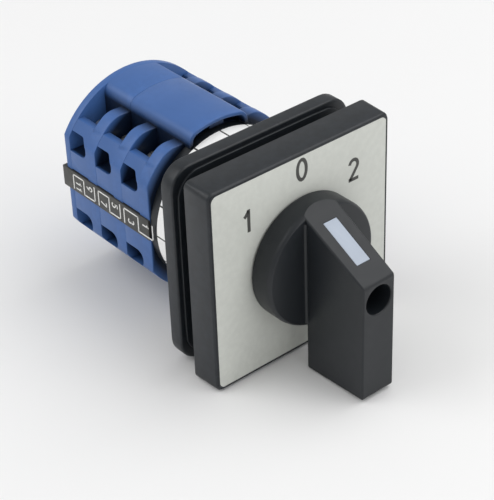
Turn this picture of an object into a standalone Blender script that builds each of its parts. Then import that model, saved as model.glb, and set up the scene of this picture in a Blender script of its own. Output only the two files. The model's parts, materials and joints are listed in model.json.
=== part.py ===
"""Panel-mounted rotary transfer switch: three contact decks, positions 1, 0 and 2.

Units are metres. X runs to the right seen from the front, Y runs from the handle into the
panel, Z is up. The origin is on the shaft axis, at the face that bears on the panel.
"""
import math

import bmesh
import bpy
from mathutils import Matrix

# Clearances
CLEAR = 0.0003            # between pieces that seat on each other
STACK_GAP = 0.0002        # between the flat faces of the stacked mouldings

# Front bezel and legend plate, in front of the panel
BEZEL_SIDE = 0.0480
BEZEL_DEPTH = 0.0072
BEZEL_CORNER = 0.0020
BEZEL_EDGE = 0.0006
BEZEL_WALL = 0.0020
BEZEL_FACE = 0.0024       # thickness of the wall behind the legend plate
BEZEL_HUB_RADIUS = 0.0100
BEZEL_HUB_LENGTH = 0.0020
LEGEND_SIDE = 0.0462
LEGEND_THICK = 0.0010
LEGEND_CORNER = 0.0018

# Rear frame, behind the panel
PANEL_GAP = 0.0042        # space left for the panel
FRAME_SIDE = 0.0470
FRAME_DEPTH = 0.0041
FRAME_CORNER = 0.0050
FRAME_EDGE = 0.0004
FRAME_BOSS_SIDE = 0.0410  # raised square that locates in the panel cut-out
FRAME_BOSS_CORNER = 0.0060
FRAME_BOSS_RISE = 0.0018

# Mounting screws, from the bezel into the rear frame
SCREW_INSET = 0.0065      # from the rear frame's side to a screw's axis
SCREW_RADIUS = 0.0015
SCREW_HEAD_RADIUS = 0.0029
SCREW_BOSS_RADIUS = 0.0038
SCREW_ENGAGEMENT = 0.0030  # how far each screw reaches into the rear frame

# Handle
HANDLE_TURN = 45.0        # degrees from the middle position to each side
HANDLE_RADIUS = 0.01405
HANDLE_DISC_DEPTH = 0.0056
HANDLE_EDGE = 0.0007
HANDLE_HUB_RADIUS = 0.0060
HANDLE_HUB_LENGTH = 0.0040
LEVER_REACH = 0.0164      # from the disc's front to the lever's nose
LEVER_TAIL = 0.0233       # from the axis down to the end of the lever, at its nose
LEVER_TAIL_DROP = 0.0006  # how much lower that end is at the disc
LEVER_NOSE = 0.0044       # height of the nose above the axis
LEVER_SHOULDER = 0.0130   # height above the axis where the slope meets the disc
LEVER_WIDTH = 0.0090
LEVER_NOSE_WIDTH = 0.0084
LEVER_EDGE = 0.0004
LEVER_ROOT = 0.0030       # how deep the lever runs into the disc
LEVER_ROOT_REACH = 0.0112  # how far the lever's root runs out from the axis
BORE_RADIUS = 0.0033
BORE_DEPTH = 0.0121
POINTER_WIDTH = 0.0035
POINTER_LENGTH = 0.0110
POINTER_THICK = 0.0010
POINTER_FROM_NOSE = 0.0050
HANDLE_WEB = 0.0017       # wall between the bore and the shaft socket
HANDLE_SCREW_RADIUS = 0.0015
HANDLE_SCREW_HEAD = 0.0027
HANDLE_SCREW_HEAD_DEPTH = 0.0022
HANDLE_SCREW_LENGTH = 0.0085

# Shaft
SHAFT_SIDE = 0.0050
SHAFT_EDGE = 0.0004

# Detent housing with its star wheel
DRUM_RADIUS = 0.0180
DRUM_LENGTH = 0.0120
DRUM_FACE = 0.0050
STAR_RADIUS = 0.0076
STAR_LOBE = 0.0006        # rise and fall of the lobes about the mean radius
STAR_LOBES = 8
SLIDER_WIDTH = 0.0048
SLIDER_LENGTH = 0.0032
DETENT_POCKET = 0.0157    # distance from the axis to the end of the slider's channel

# Contact decks
BODY_RADIUS = 0.0209
BODY_FLATS = 0.0360       # width across the side flats
DECK_COUNT = 3
DECK_PITCH = 0.00925
DECK_WALL = 0.0032        # front wall, with a rib each side of the hood
CAM_ROOM = 0.0074         # radius of the room that the cam turns in
CONTACT_FLOOR = 0.0074    # distance from the axis to the floor under the contacts
CHANNEL_WIDTH = 0.0138    # room for the moving contact, left to right
CHANNEL_TOP = 0.0170      # distance from the axis to the seat of the contact spring
POCKET_INNER = 0.0078     # terminal pocket, from the side wall of the hood over the contacts
POCKET_OUTER = 0.0134     # to its outer wall
SHOULDER_RADIUS = 0.0025  # round shoulder from the hood's top into its side wall
RIB_TOP = 0.01715         # distance from the axis to the top of the walls beside the hood
RIB_FOOT = 0.01695        # the same, where the wall meets the hood
LEDGE_TOP = 0.0142        # distance from the axis to the ledge outside a pocket
WIRE_FRONT = 0.0033       # wire hole, front edge, from the front of the deck
WIRE_LOW = 0.0074         # wire hole, edge nearest the axis
WIRE_HIGH = 0.0121        # wire hole, edge farthest from the axis
WIRE_CHAMFER = 0.0015
HOOD_OVERHANG = 0.0021    # how far the first deck's hoods run forward over the drum
HOOD_SHELL = 0.0009       # thickness of the hoods there
RECESS_INNER = 0.0181     # distance from the axis to the floor of the recess under a hood
RECESS_DEPTH = 0.0014     # how far the recess runs into the first deck's wall
TAB_WIDTH = 0.0038        # tab in that recess
TAB_LOW = 0.0185
TAB_HIGH = 0.0196
TAB_SETBACK = 0.0008      # from the hood's front to the tab's front
COVER_THICK = 0.0021
COVER_SOCKET = 0.0012     # depth of the seat for the shaft's end

# Cams and moving contacts
CAM_RADIUS = 0.0056       # at the middle position
CAM_LIFT = 0.0012         # lift in metres for each radian of turn
CAM_SWEEP = 55.0          # degrees of lift each side of the middle
CAM_HUB_RADIUS = 0.0047
PLUNGER_WIDTH = 0.0026
PLUNGER_DEPTH = 0.0046
PLUNGER_TIP = 0.0006
BRIDGE_LENGTH = 0.0126
BRIDGE_WIDTH = 0.0024
BRIDGE_THICK = 0.0010
FORK_RISE = 0.0016        # how far the plunger's fork stands up beside the bridge
FORK_SLOT = 0.0030        # gap between the fork's two fingers

# Terminals
TERMINAL_INNER = 0.0034   # distance from the middle to the fixed contact's end
TERMINAL_THICK = 0.0010
TERMINAL_WIDTH = 0.0040
CLAMP_SIDE = 0.0042
CLAMP_THICK = 0.0008
CLAMP_OPENING = 0.0019    # room for a wire under the clamp plate
CLAMP_SCREW_RADIUS = 0.0014
CLAMP_HEAD_RADIUS = 0.0021
CLAMP_HEAD_DEPTH = 0.0014
CLAMP_SCREW_TIP = 0.0014  # how far the screw stands out under the terminal

# Tie bolts and marker strips
TIE_OFFSET = 0.0125       # from the axis to each bolt
TIE_RADIUS = 0.0014
TIE_HEAD_RADIUS = 0.0027
TIE_HEAD_DEPTH = 0.0016
TIE_ENGAGEMENT = 0.0030   # how far each bolt reaches into the rear frame
STRIP_WIDTH = 0.0050
STRIP_THICK = 0.0007
STRIP_RECESS = 0.0006     # depth of the groove in the side flats
STRIP_HOOK = 0.0024       # length of the hook behind the rear cover
STRIP_HOOK_THICK = 0.0008

# Coil springs
CONTACT_COIL_RADIUS = 0.00105
CONTACT_WIRE_RADIUS = 0.0002
DETENT_COIL_RADIUS = 0.0015
DETENT_WIRE_RADIUS = 0.00025
COIL_TURNS = 4
COIL_STEPS = 8

# Stations along Y and the screw pattern, worked out from the sizes above
BEZEL_FRONT = -BEZEL_DEPTH
LEGEND_BACK = BEZEL_FRONT + LEGEND_THICK
FACE_FRONT = LEGEND_BACK + STACK_GAP
FACE_BACK = FACE_FRONT + BEZEL_FACE
SCREW_PITCH = FRAME_SIDE - 2 * SCREW_INSET
FRAME_FRONT = PANEL_GAP
FRAME_BACK = FRAME_FRONT + FRAME_DEPTH
BOSS_FRONT = FRAME_FRONT - FRAME_BOSS_RISE
DRUM_FRONT = FRAME_BACK + STACK_GAP
DRUM_BACK = DRUM_FRONT + DRUM_LENGTH
DRUM_ROOM = DRUM_FRONT + DRUM_FACE
DECK_FRONT = DRUM_BACK + STACK_GAP
DECK_DEPTH = DECK_PITCH - STACK_GAP
COVER_FRONT = DECK_FRONT + DECK_COUNT * DECK_PITCH
COVER_BACK = COVER_FRONT + COVER_THICK
DISC_BACK = BEZEL_FRONT - CLEAR
DISC_FRONT = DISC_BACK - HANDLE_DISC_DEPTH
NOSE_FRONT = DISC_FRONT - LEVER_REACH
BORE_FLOOR = NOSE_FRONT + BORE_DEPTH
SOCKET_FLOOR = BORE_FLOOR + HANDLE_WEB
SHAFT_FRONT = SOCKET_FLOOR + CLEAR
SHAFT_BACK = COVER_FRONT + COVER_SOCKET - CLEAR
HUB_BACK = DISC_BACK + HANDLE_HUB_LENGTH

# Places that several pieces share
SHAFT_BORE = SHAFT_SIDE + 2 * CLEAR
SHAFT_SWEEP = SHAFT_SIDE / math.sqrt(2) + CLEAR
STAR_TOP = STAR_RADIUS + STAR_LOBE
ROOM_MIDDLE = (DECK_WALL + DECK_DEPTH) / 2
POCKET_MIDDLE = (POCKET_INNER + POCKET_OUTER) / 2
TERMINAL_LOW = CONTACT_FLOOR + CLEAR
TERMINAL_HIGH = TERMINAL_LOW + TERMINAL_THICK
CONTACT_GAP = CAM_LIFT * math.radians(HANDLE_TURN) + CLEAR
BRIDGE_LOW = TERMINAL_HIGH + CONTACT_GAP
BRIDGE_HIGH = BRIDGE_LOW + BRIDGE_THICK
CLAMP_LOW = TERMINAL_HIGH + CLAMP_OPENING
CLAMP_HIGH = CLAMP_LOW + CLAMP_THICK
SPRING_LOW = BRIDGE_HIGH + CLEAR
SPRING_HIGH = CHANNEL_TOP - CLEAR
TIE_HOLE = TIE_RADIUS + CLEAR
SCREW_HOLE = SCREW_RADIUS + CLEAR
REACH = 0.03              # how far cutters run past the body

# Segments of round shapes
ROUND = 40
HUB_ROUND = 24
SMALL_ROUND = 12
BODY_STEPS = 22           # in one half of the body's outline
RECESS_STEPS = 8
NOSE_STEPS = 10
CORNER_STEPS = 4
SHOULDER_STEPS = 5
RIB_STEPS = 6
HOOD_STEPS = 5
EDGE_STEPS = 3
STAR_STEPS = 6            # in each lobe


def new_collection(name):
    """Make an empty collection in the scene."""
    found = bpy.data.collections.new(name)
    bpy.context.scene.collection.children.link(found)
    return found


for old in list(bpy.data.objects):
    bpy.data.objects.remove(old, do_unlink=True)
PARTS = new_collection("transfer_switch")
CUTTERS = new_collection("transfer_switch_cutters")


def material(name, colour, roughness, metallic=0.0):
    """Principled material with a plain colour."""
    made = bpy.data.materials.new(name)
    made.use_nodes = True
    shader = made.node_tree.nodes["Principled BSDF"]
    shader.inputs["Base Color"].default_value = (*colour, 1.0)
    shader.inputs["Roughness"].default_value = roughness
    shader.inputs["Metallic"].default_value = metallic
    return made


BLACK = material("black_plastic", (0.045, 0.047, 0.050), 0.45)
BLUE = material("blue_plastic", (0.050, 0.115, 0.360), 0.42)
PALE = material("legend_grey", (0.560, 0.575, 0.535), 0.50)
POINTER = material("pointer_white", (0.640, 0.690, 0.780), 0.45)
STRIP = material("strip_dark", (0.050, 0.050, 0.047), 0.55)
INNER = material("natural_plastic", (0.620, 0.590, 0.500), 0.50)
STEEL = material("plated_steel", (0.620, 0.620, 0.610), 0.30, 1.0)
BRASS = material("brass", (0.720, 0.540, 0.260), 0.35, 1.0)
COPPER = material("silvered_copper", (0.760, 0.560, 0.460), 0.35, 1.0)


# Meshes from Blender's own shapes


def place(name, mesh, finish):
    """Put a mesh into the part's collection under a name."""
    made = bpy.data.objects.new(name, mesh)
    PARTS.objects.link(made)
    if finish:
        mesh.materials.clear()
        mesh.materials.append(finish)
    mesh.shade_smooth()
    mesh.set_sharp_from_angle(angle=math.radians(35))
    return made


def settled(made):
    """Replace an object by its evaluated mesh, welded and with its place in the mesh."""
    bpy.context.view_layer.update()
    graph = bpy.context.evaluated_depsgraph_get()
    mesh = bpy.data.meshes.new_from_object(made.evaluated_get(graph))
    mesh.transform(made.matrix_world)
    name = made.name
    bpy.data.objects.remove(made, do_unlink=True)
    mesh.name = name
    work = bmesh.new()
    work.from_mesh(mesh)
    bmesh.ops.remove_doubles(work, verts=work.verts, dist=1e-7)
    bmesh.ops.recalc_face_normals(work, faces=work.faces)
    work.to_mesh(mesh)
    work.free()
    return mesh


AXES = {
    "X": Matrix(((0, 0, 1, 0), (1, 0, 0, 0), (0, 1, 0, 0), (0, 0, 0, 1))),
    "Y": Matrix(((1, 0, 0, 0), (0, 0, -1, 0), (0, 1, 0, 0), (0, 0, 0, 1))),
    "Z": Matrix.Identity(4),
}


def prism(outline, low, high, axis="Y"):
    """Filled outline carried along an axis: (x, z) along Y, (y, z) along X, (x, y) along Z."""
    curve = bpy.data.curves.new("outline", "CURVE")
    curve.dimensions = "2D"
    curve.fill_mode = "BOTH"
    curve.extrude = (high - low) / 2
    spline = curve.splines.new("POLY")
    spline.points.add(len(outline) - 1)
    for point, (u, v) in zip(spline.points, outline):
        point.co = (u, v, 0, 1)
    spline.use_cyclic_u = True
    made = bpy.data.objects.new("outline", curve)
    PARTS.objects.link(made)
    middle = (low + high) / 2
    shift = {"X": (middle, 0, 0), "Y": (0, middle, 0), "Z": (0, 0, middle)}[axis]
    made.matrix_world = Matrix.Translation(shift) @ AXES[axis]
    return settled(made)


def box(x, y, z):
    """Box between pairs of limits."""
    work = bmesh.new()
    bmesh.ops.create_cube(work, size=1.0)
    size = [limit[1] - limit[0] for limit in (x, y, z)]
    middle = [(limit[0] + limit[1]) / 2 for limit in (x, y, z)]
    bmesh.ops.scale(work, vec=size, verts=work.verts)
    bmesh.ops.translate(work, vec=middle, verts=work.verts)
    mesh = bpy.data.meshes.new("box")
    work.to_mesh(mesh)
    work.free()
    return mesh


def rod(radius, low, high, centre=(0.0, 0.0), axis="Y", sides=ROUND):
    """Round bar along an axis; centre is (x, z) along Y, (y, z) along X, (x, y) along Z."""
    work = bmesh.new()
    bmesh.ops.create_cone(work, cap_ends=True, segments=sides, radius1=radius,
                          radius2=radius, depth=high - low)
    mesh = bpy.data.meshes.new("rod")
    work.to_mesh(mesh)
    work.free()
    mesh.transform(Matrix.Translation((*centre, 0)))
    mesh.transform(AXES[axis])
    middle = (low + high) / 2
    shift = {"X": (middle, 0, 0), "Y": (0, middle, 0), "Z": (0, 0, middle)}[axis]
    mesh.transform(Matrix.Translation(shift))
    return mesh


def turned(profile, centre=(0.0, 0.0), axis="Y", steps=SMALL_ROUND):
    """Profile of (radius, height) points, first and last on the axis, turned with Screw."""
    mesh = bpy.data.meshes.new("profile")
    points = [(radius, 0, height) for radius, height in profile]
    mesh.from_pydata(points, [(i, i + 1) for i in range(len(points) - 1)], [])
    made = bpy.data.objects.new("profile", mesh)
    PARTS.objects.link(made)
    screw = made.modifiers.new("turn", "SCREW")
    screw.steps = steps
    screw.render_steps = steps
    screw.use_merge_vertices = True
    screw.merge_threshold = 1e-6
    frame = {"Y": Matrix.Rotation(-math.pi / 2, 4, "X"), "Z": Matrix.Identity(4)}[axis]
    shift = {"Y": (centre[0], 0, centre[1]), "Z": (centre[0], centre[1], 0)}[axis]
    made.matrix_world = Matrix.Translation(shift) @ frame
    return settled(made)


def coil(radius, wire, low, high, centre):
    """Coil spring along Z between two heights, as a bevelled poly curve."""
    curve = bpy.data.curves.new("coil", "CURVE")
    curve.dimensions = "3D"
    curve.bevel_depth = wire
    curve.bevel_resolution = 0
    curve.use_fill_caps = True
    count = COIL_TURNS * COIL_STEPS + 1
    spline = curve.splines.new("POLY")
    spline.points.add(count - 1)
    rise = high - low - 2 * wire
    for i, point in enumerate(spline.points):
        turn = 2 * math.pi * i / COIL_STEPS
        height = low + wire + rise * i / (count - 1)
        point.co = (centre[0] + radius * math.cos(turn), centre[1] + radius * math.sin(turn),
                    height, 1)
    made = bpy.data.objects.new("coil", curve)
    PARTS.objects.link(made)
    return settled(made)


def arc(centre, radius, start, end, steps):
    """Points on a circle, angles in degrees from the first axis towards the second."""
    turns = [math.radians(start + (end - start) * i / steps) for i in range(steps + 1)]
    return [(centre[0] + radius * math.cos(t), centre[1] + radius * math.sin(t)) for t in turns]


def round_square(side, corner):
    """Square outline with round corners."""
    reach = side / 2 - corner
    outline = []
    for i, (u, v) in enumerate(((1, 1), (-1, 1), (-1, -1), (1, -1))):
        outline += arc((u * reach, v * reach), corner, 90 * i, 90 * i + 90, CORNER_STEPS)
    return outline


def mirrored(outline, flip_u=False, flip_v=False):
    """Outline turned over in one or both directions."""
    return [(-u if flip_u else u, -v if flip_v else v) for u, v in outline]


def bevelled(mesh, width, segments=2):
    """Mesh with its sharp edges rounded."""
    made = bpy.data.objects.new("bevelled", mesh)
    PARTS.objects.link(made)
    edge = made.modifiers.new("edges", "BEVEL")
    edge.width = width
    edge.segments = segments
    edge.limit_method = "ANGLE"
    edge.angle_limit = math.radians(40)
    return settled(made)


def shaped(made, mesh, operation="DIFFERENCE"):
    """Cut a mesh out of an object, or join it on, with a live Boolean."""
    tool = bpy.data.objects.new(made.name + "_tool", mesh)
    CUTTERS.objects.link(tool)
    tool.hide_render = True
    tool.display_type = "WIRE"
    step = made.modifiers.new(operation.lower(), "BOOLEAN")
    step.operation = operation
    step.solver = "EXACT"
    step.object = tool


def copied(name, source, finish, offset):
    """Further copy of a finished piece, with its own place."""
    bpy.context.view_layer.update()
    graph = bpy.context.evaluated_depsgraph_get()
    made = place(name, bpy.data.meshes.new_from_object(source.evaluated_get(graph)), finish)
    made.location = offset
    return made


def axis_empty(name, location):
    """Empty on a joint's axis, to carry what moves there."""
    made = bpy.data.objects.new(name, None)
    made.empty_display_size = 0.01
    made.location = location
    PARTS.objects.link(made)
    return made


def carry(empty, *pieces):
    """Parent pieces to an empty and leave them where they are."""
    bpy.context.view_layer.update()
    for piece in pieces:
        piece.parent = empty
        piece.matrix_parent_inverse = empty.matrix_world.inverted()


# Outlines


def body_outline():
    """Round body with flat sides."""
    half = BODY_FLATS / 2
    edge = math.degrees(math.acos(half / BODY_RADIUS))
    top = arc((0, 0), BODY_RADIUS, edge, 180 - edge, BODY_STEPS)
    return top + mirrored(top, True, True)


def deck_outline():
    """Deck seen from the front: flat sides, ribs cut level, a round hood at top and bottom."""
    flat = math.degrees(math.acos(BODY_FLATS / 2 / BODY_RADIUS))
    level = math.degrees(math.asin(RIB_TOP / BODY_RADIUS))
    middle_u = POCKET_INNER - SHOULDER_RADIUS
    middle_v = math.sqrt((BODY_RADIUS - SHOULDER_RADIUS) ** 2 - middle_u ** 2)
    tangent = math.degrees(math.atan2(middle_v, middle_u))
    right = (arc((0, 0), BODY_RADIUS, flat, level, RIB_STEPS) + [(POCKET_INNER, RIB_FOOT)]
             + arc((middle_u, middle_v), SHOULDER_RADIUS, 0, tangent, SHOULDER_STEPS)
             + arc((0, 0), BODY_RADIUS, tangent, 90, HOOD_STEPS)[1:])
    upper = right + [(-u, v) for u, v in reversed(right[:-1])]
    return upper + [(u, -v) for u, v in reversed(upper)]


def pocket_outline():
    """Terminal pocket at the upper right, with the ledge outside it, open at the top."""
    return [(POCKET_INNER, CONTACT_FLOOR), (POCKET_OUTER, CONTACT_FLOOR), (POCKET_OUTER, LEDGE_TOP),
            (REACH, LEDGE_TOP), (REACH, REACH), (POCKET_INNER, REACH)]


def between_hoods():
    """All that lies between and beside the two hoods, out past the drum."""
    radius = DRUM_RADIUS + CLEAR
    foot = math.sqrt(radius ** 2 - POCKET_INNER ** 2)
    edge = math.degrees(math.atan2(foot, POCKET_INNER))
    upper = ([(REACH, REACH), (POCKET_INNER, REACH)]
             + arc((0, 0), radius, edge, 180 - edge, RECESS_STEPS)
             + [(-POCKET_INNER, REACH), (-REACH, REACH)])
    return upper + [(u, -v) for u, v in reversed(upper)]


def wire_outline(front):
    """Wire hole in the side flat as (y, z), open towards the next deck."""
    edge = front + WIRE_FRONT
    far = edge + WIRE_CHAMFER
    return [(front + REACH, WIRE_LOW), (front + REACH, WIRE_HIGH),
            (far, WIRE_HIGH), (edge, WIRE_HIGH - WIRE_CHAMFER),
            (edge, WIRE_LOW + WIRE_CHAMFER), (far, WIRE_LOW)]


def recess_outline(side):
    """Curved recess under a hood; side is 1 for the top and -1 for the bottom."""
    half = CHANNEL_WIDTH / 2
    outer = BODY_RADIUS - HOOD_SHELL
    far = math.degrees(math.asin(half / outer))
    near = math.degrees(math.asin(half / RECESS_INNER))
    ring = (arc((0, 0), outer, 90 - far, 90 + far, RECESS_STEPS)
            + arc((0, 0), RECESS_INNER, 90 + near, 90 - near, RECESS_STEPS))
    return mirrored(ring, False, side < 0)


def cam_outline():
    """Lift falls evenly clockwise over the top and rises evenly over the bottom."""
    outline = []
    for i in range(ROUND):
        turn = 360.0 * i / ROUND
        from_top = turn if turn <= 180 else turn - 360
        lean = from_top if abs(from_top) <= 90 else math.copysign(180, from_top) - from_top
        lift = math.radians(max(-CAM_SWEEP, min(CAM_SWEEP, lean)))
        radius = CAM_RADIUS - CAM_LIFT * lift
        outline.append((radius * math.sin(math.radians(turn)),
                        radius * math.cos(math.radians(turn))))
    return outline


def star_outline():
    """Detent wheel with even lobes and a valley under each slider at every position."""
    outline = []
    count = STAR_LOBES * STAR_STEPS
    for i in range(count):
        turn = 2 * math.pi * i / count
        radius = STAR_RADIUS - STAR_LOBE * math.cos(STAR_LOBES * turn)
        outline.append((radius * math.sin(turn), radius * math.cos(turn)))
    return outline


def square(side):
    """Square outline about the axis."""
    half = side / 2
    return [(half, half), (-half, half), (-half, -half), (half, -half)]


def corners(pitch):
    """The four points of a square pattern."""
    half = pitch / 2
    return [(-half, half), (half, half), (-half, -half), (half, -half)]


# Front pieces


def front_bezel():
    """Square frame with a recess for the legend plate and an open back."""
    block = prism(round_square(BEZEL_SIDE, BEZEL_CORNER), BEZEL_FRONT, BEZEL_DEPTH)
    made = place("front_bezel", bevelled(block, BEZEL_EDGE), BLACK)
    shaped(made, box((-REACH, REACH), (0, REACH), (-REACH, REACH)))
    seat = round_square(LEGEND_SIDE + 2 * STACK_GAP, LEGEND_CORNER + STACK_GAP)
    shaped(made, prism(seat, BEZEL_FRONT - REACH, FACE_FRONT))
    inside = round_square(BEZEL_SIDE - 2 * BEZEL_WALL, BEZEL_CORNER)
    shaped(made, prism(inside, FACE_BACK, REACH))
    for centre in corners(SCREW_PITCH):
        shaped(made, rod(SCREW_BOSS_RADIUS, FACE_BACK - BEZEL_FACE / 2, 0, centre, "Y",
                         SMALL_ROUND), "UNION")
    hub_end = FACE_BACK + BEZEL_HUB_LENGTH
    shaped(made, rod(BEZEL_HUB_RADIUS, FACE_BACK - BEZEL_FACE / 2, hub_end), "UNION")
    shaped(made, rod(HANDLE_HUB_RADIUS + CLEAR, -REACH, REACH))
    sink = SCREW_HEAD_RADIUS - SCREW_RADIUS
    for x, z in corners(SCREW_PITCH):
        head = SCREW_HEAD_RADIUS + CLEAR
        seat = [(0, FACE_FRONT - REACH), (head, FACE_FRONT - REACH), (head, FACE_FRONT),
                (SCREW_HOLE, FACE_FRONT + sink), (SCREW_HOLE, REACH), (0, REACH)]
        shaped(made, turned(seat, (x, z)))
    return made


def legend_plate():
    """Thin square plate that covers the screws."""
    plate = prism(round_square(LEGEND_SIDE, LEGEND_CORNER), BEZEL_FRONT, LEGEND_BACK)
    made = place("legend_plate", plate, PALE)
    shaped(made, rod(HANDLE_HUB_RADIUS + CLEAR, -REACH, REACH))
    return made


def rear_frame():
    """Mounting frame behind the panel with its raised locating square."""
    slab = bevelled(prism(round_square(FRAME_SIDE, FRAME_CORNER), FRAME_FRONT, FRAME_BACK),
                    FRAME_EDGE)
    made = place("rear_frame", slab, BLACK)
    boss = round_square(FRAME_BOSS_SIDE, FRAME_BOSS_CORNER)
    shaped(made, prism(boss, BOSS_FRONT, FRAME_BACK - FRAME_DEPTH / 2), "UNION")
    shaped(made, rod(SHAFT_SWEEP, -REACH, REACH, sides=SMALL_ROUND))
    for centre in corners(SCREW_PITCH):
        shaped(made, rod(SCREW_HOLE, -REACH, REACH, centre, "Y", SMALL_ROUND))
    for x in (-TIE_OFFSET, TIE_OFFSET):
        shaped(made, rod(TIE_HOLE, -REACH, REACH, (x, 0), "Y", SMALL_ROUND))
    return made


def mounting_screws():
    """Countersunk screws from the bezel into the rear frame."""
    sink = SCREW_HEAD_RADIUS - SCREW_RADIUS
    head = FACE_FRONT + CLEAR / 2
    tip = FRAME_FRONT + SCREW_ENGAGEMENT
    profile = [(0, head), (SCREW_HEAD_RADIUS, head), (SCREW_RADIUS, head + sink),
               (SCREW_RADIUS, tip), (0, tip)]
    names = ("upper_left", "upper_right", "lower_left", "lower_right")
    return [place("mounting_screw_" + name, turned(profile, centre), STEEL)
            for name, centre in zip(names, corners(SCREW_PITCH))]


# Handle and shaft


def lever_mesh():
    """Lever blade: side profile carried across, thinner towards its nose."""
    root = DISC_FRONT + LEVER_ROOT
    profile = [(NOSE_FRONT, LEVER_NOSE), (NOSE_FRONT, -LEVER_TAIL),
               (DISC_FRONT, -LEVER_TAIL - LEVER_TAIL_DROP),
               (DISC_FRONT, -LEVER_ROOT_REACH), (root, -LEVER_ROOT_REACH),
               (root, LEVER_ROOT_REACH), (DISC_FRONT, LEVER_SHOULDER)]
    mesh = prism(profile, -LEVER_WIDTH / 2, LEVER_WIDTH / 2, "X")
    for vertex in mesh.vertices:
        along = (DISC_FRONT - vertex.co.y) / LEVER_REACH
        if along > 0:
            vertex.co.x *= 1 - along * (1 - LEVER_NOSE_WIDTH / LEVER_WIDTH)
    return bevelled(mesh, LEVER_EDGE)


def slope_frame():
    """Place on the lever's slope, at the pointer's middle, with local Z out of the slope."""
    lean = math.atan2(LEVER_SHOULDER - LEVER_NOSE, LEVER_REACH)
    along = POINTER_FROM_NOSE + POINTER_LENGTH / 2
    y = NOSE_FRONT + along * math.cos(lean)
    z = LEVER_NOSE + along * math.sin(lean)
    return Matrix.Translation((0, y, z)) @ Matrix.Rotation(lean, 4, "X")


def handle():
    """Disc with its lever, screw bore and square socket."""
    edge = (HANDLE_RADIUS - HANDLE_EDGE, DISC_FRONT + HANDLE_EDGE)
    disc = ([(0, DISC_FRONT)] + arc(edge, HANDLE_EDGE, -90, 0, EDGE_STEPS)
            + [(HANDLE_RADIUS, DISC_BACK), (HANDLE_HUB_RADIUS, DISC_BACK),
               (HANDLE_HUB_RADIUS, HUB_BACK), (0, HUB_BACK)])
    made = place("handle", turned(disc, steps=ROUND), BLACK)
    shaped(made, lever_mesh(), "UNION")
    shaped(made, rod(BORE_RADIUS, NOSE_FRONT - REACH, BORE_FLOOR, sides=HUB_ROUND))
    shaped(made, prism(square(SHAFT_BORE), SOCKET_FLOOR, REACH))
    shaped(made, rod(HANDLE_SCREW_RADIUS + CLEAR, BORE_FLOOR - CLEAR, SOCKET_FLOOR + CLEAR,
                     sides=SMALL_ROUND))
    half = POINTER_WIDTH / 2 + STACK_GAP
    length = POINTER_LENGTH / 2 + STACK_GAP
    seat = box((-half, half), (-length, length), (-POINTER_THICK - STACK_GAP, REACH))
    seat.transform(slope_frame())
    shaped(made, seat)
    return made


def handle_pointer():
    """Pale insert in the lever's slope."""
    half = POINTER_WIDTH / 2
    length = POINTER_LENGTH / 2
    bar = box((-half, half), (-length, length), (-POINTER_THICK, 0))
    bar.transform(slope_frame())
    return place("handle_pointer", bar, POINTER)


def handle_screw():
    """Screw at the bottom of the bore that holds the handle on the shaft."""
    seat = BORE_FLOOR - CLEAR
    top = seat - HANDLE_SCREW_HEAD_DEPTH
    tip = seat + HANDLE_SCREW_LENGTH
    profile = [(0, top), (HANDLE_SCREW_HEAD, top), (HANDLE_SCREW_HEAD, seat),
               (HANDLE_SCREW_RADIUS, seat), (HANDLE_SCREW_RADIUS, tip), (0, tip)]
    return place("handle_screw", turned(profile), STEEL)


def shaft():
    """Square bar with a hole for the handle's screw."""
    bar = bevelled(prism(square(SHAFT_SIDE), SHAFT_FRONT, SHAFT_BACK), SHAFT_EDGE, 1)
    made = place("shaft", bar, STEEL)
    floor = BORE_FLOOR + HANDLE_SCREW_LENGTH + CLEAR
    shaped(made, rod(HANDLE_SCREW_RADIUS + CLEAR, SHAFT_FRONT - REACH, floor, sides=SMALL_ROUND))
    return made


# Detent


def detent_housing():
    """Round drum with rooms for the star wheel and its two sliders."""
    made = place("detent_housing", rod(DRUM_RADIUS, DRUM_FRONT, DRUM_BACK), BLACK)
    half = SLIDER_WIDTH / 2 + CLEAR
    shaped(made, rod(STAR_TOP + CLEAR, DRUM_ROOM, REACH))
    shaped(made, box((-half, half), (DRUM_ROOM, REACH), (-DETENT_POCKET, DETENT_POCKET)))
    shaped(made, rod(SHAFT_SWEEP, -REACH, REACH, sides=SMALL_ROUND))
    for x in (-TIE_OFFSET, TIE_OFFSET):
        shaped(made, rod(TIE_HOLE, -REACH, REACH, (x, 0), "Y", SMALL_ROUND))
    return made


def detent_limits():
    """Front and back of the star wheel and of the sliders."""
    return DRUM_ROOM + CLEAR, DRUM_BACK - CLEAR


def star_wheel():
    """Lobed wheel on the shaft."""
    made = place("star_wheel", prism(star_outline(), *detent_limits()), INNER)
    shaped(made, prism(square(SHAFT_BORE), -REACH, REACH))
    return made


def detent_slider(name, side):
    """Slider with a round nose, carried clear of the lobes."""
    low = STAR_TOP + CLEAR
    high = low + SLIDER_LENGTH
    half = SLIDER_WIDTH / 2
    nose = arc((0, low + half), half, 180, 360, NOSE_STEPS)
    outline = mirrored(nose + [(half, high), (-half, high)], False, side < 0)
    return place(name, prism(outline, *detent_limits()), INNER)


def detent_spring(name, side):
    """Coil between a slider and the end of its channel."""
    low = STAR_TOP + SLIDER_LENGTH + 2 * CLEAR
    high = DETENT_POCKET - CLEAR
    middle = sum(detent_limits()) / 2
    mesh = coil(DETENT_COIL_RADIUS, DETENT_WIRE_RADIUS, low, high, (0, middle))
    if side < 0:
        mesh.transform(Matrix.Rotation(math.pi, 4, "Y"))
    return place(name, mesh, STEEL)


# Contact decks


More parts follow.
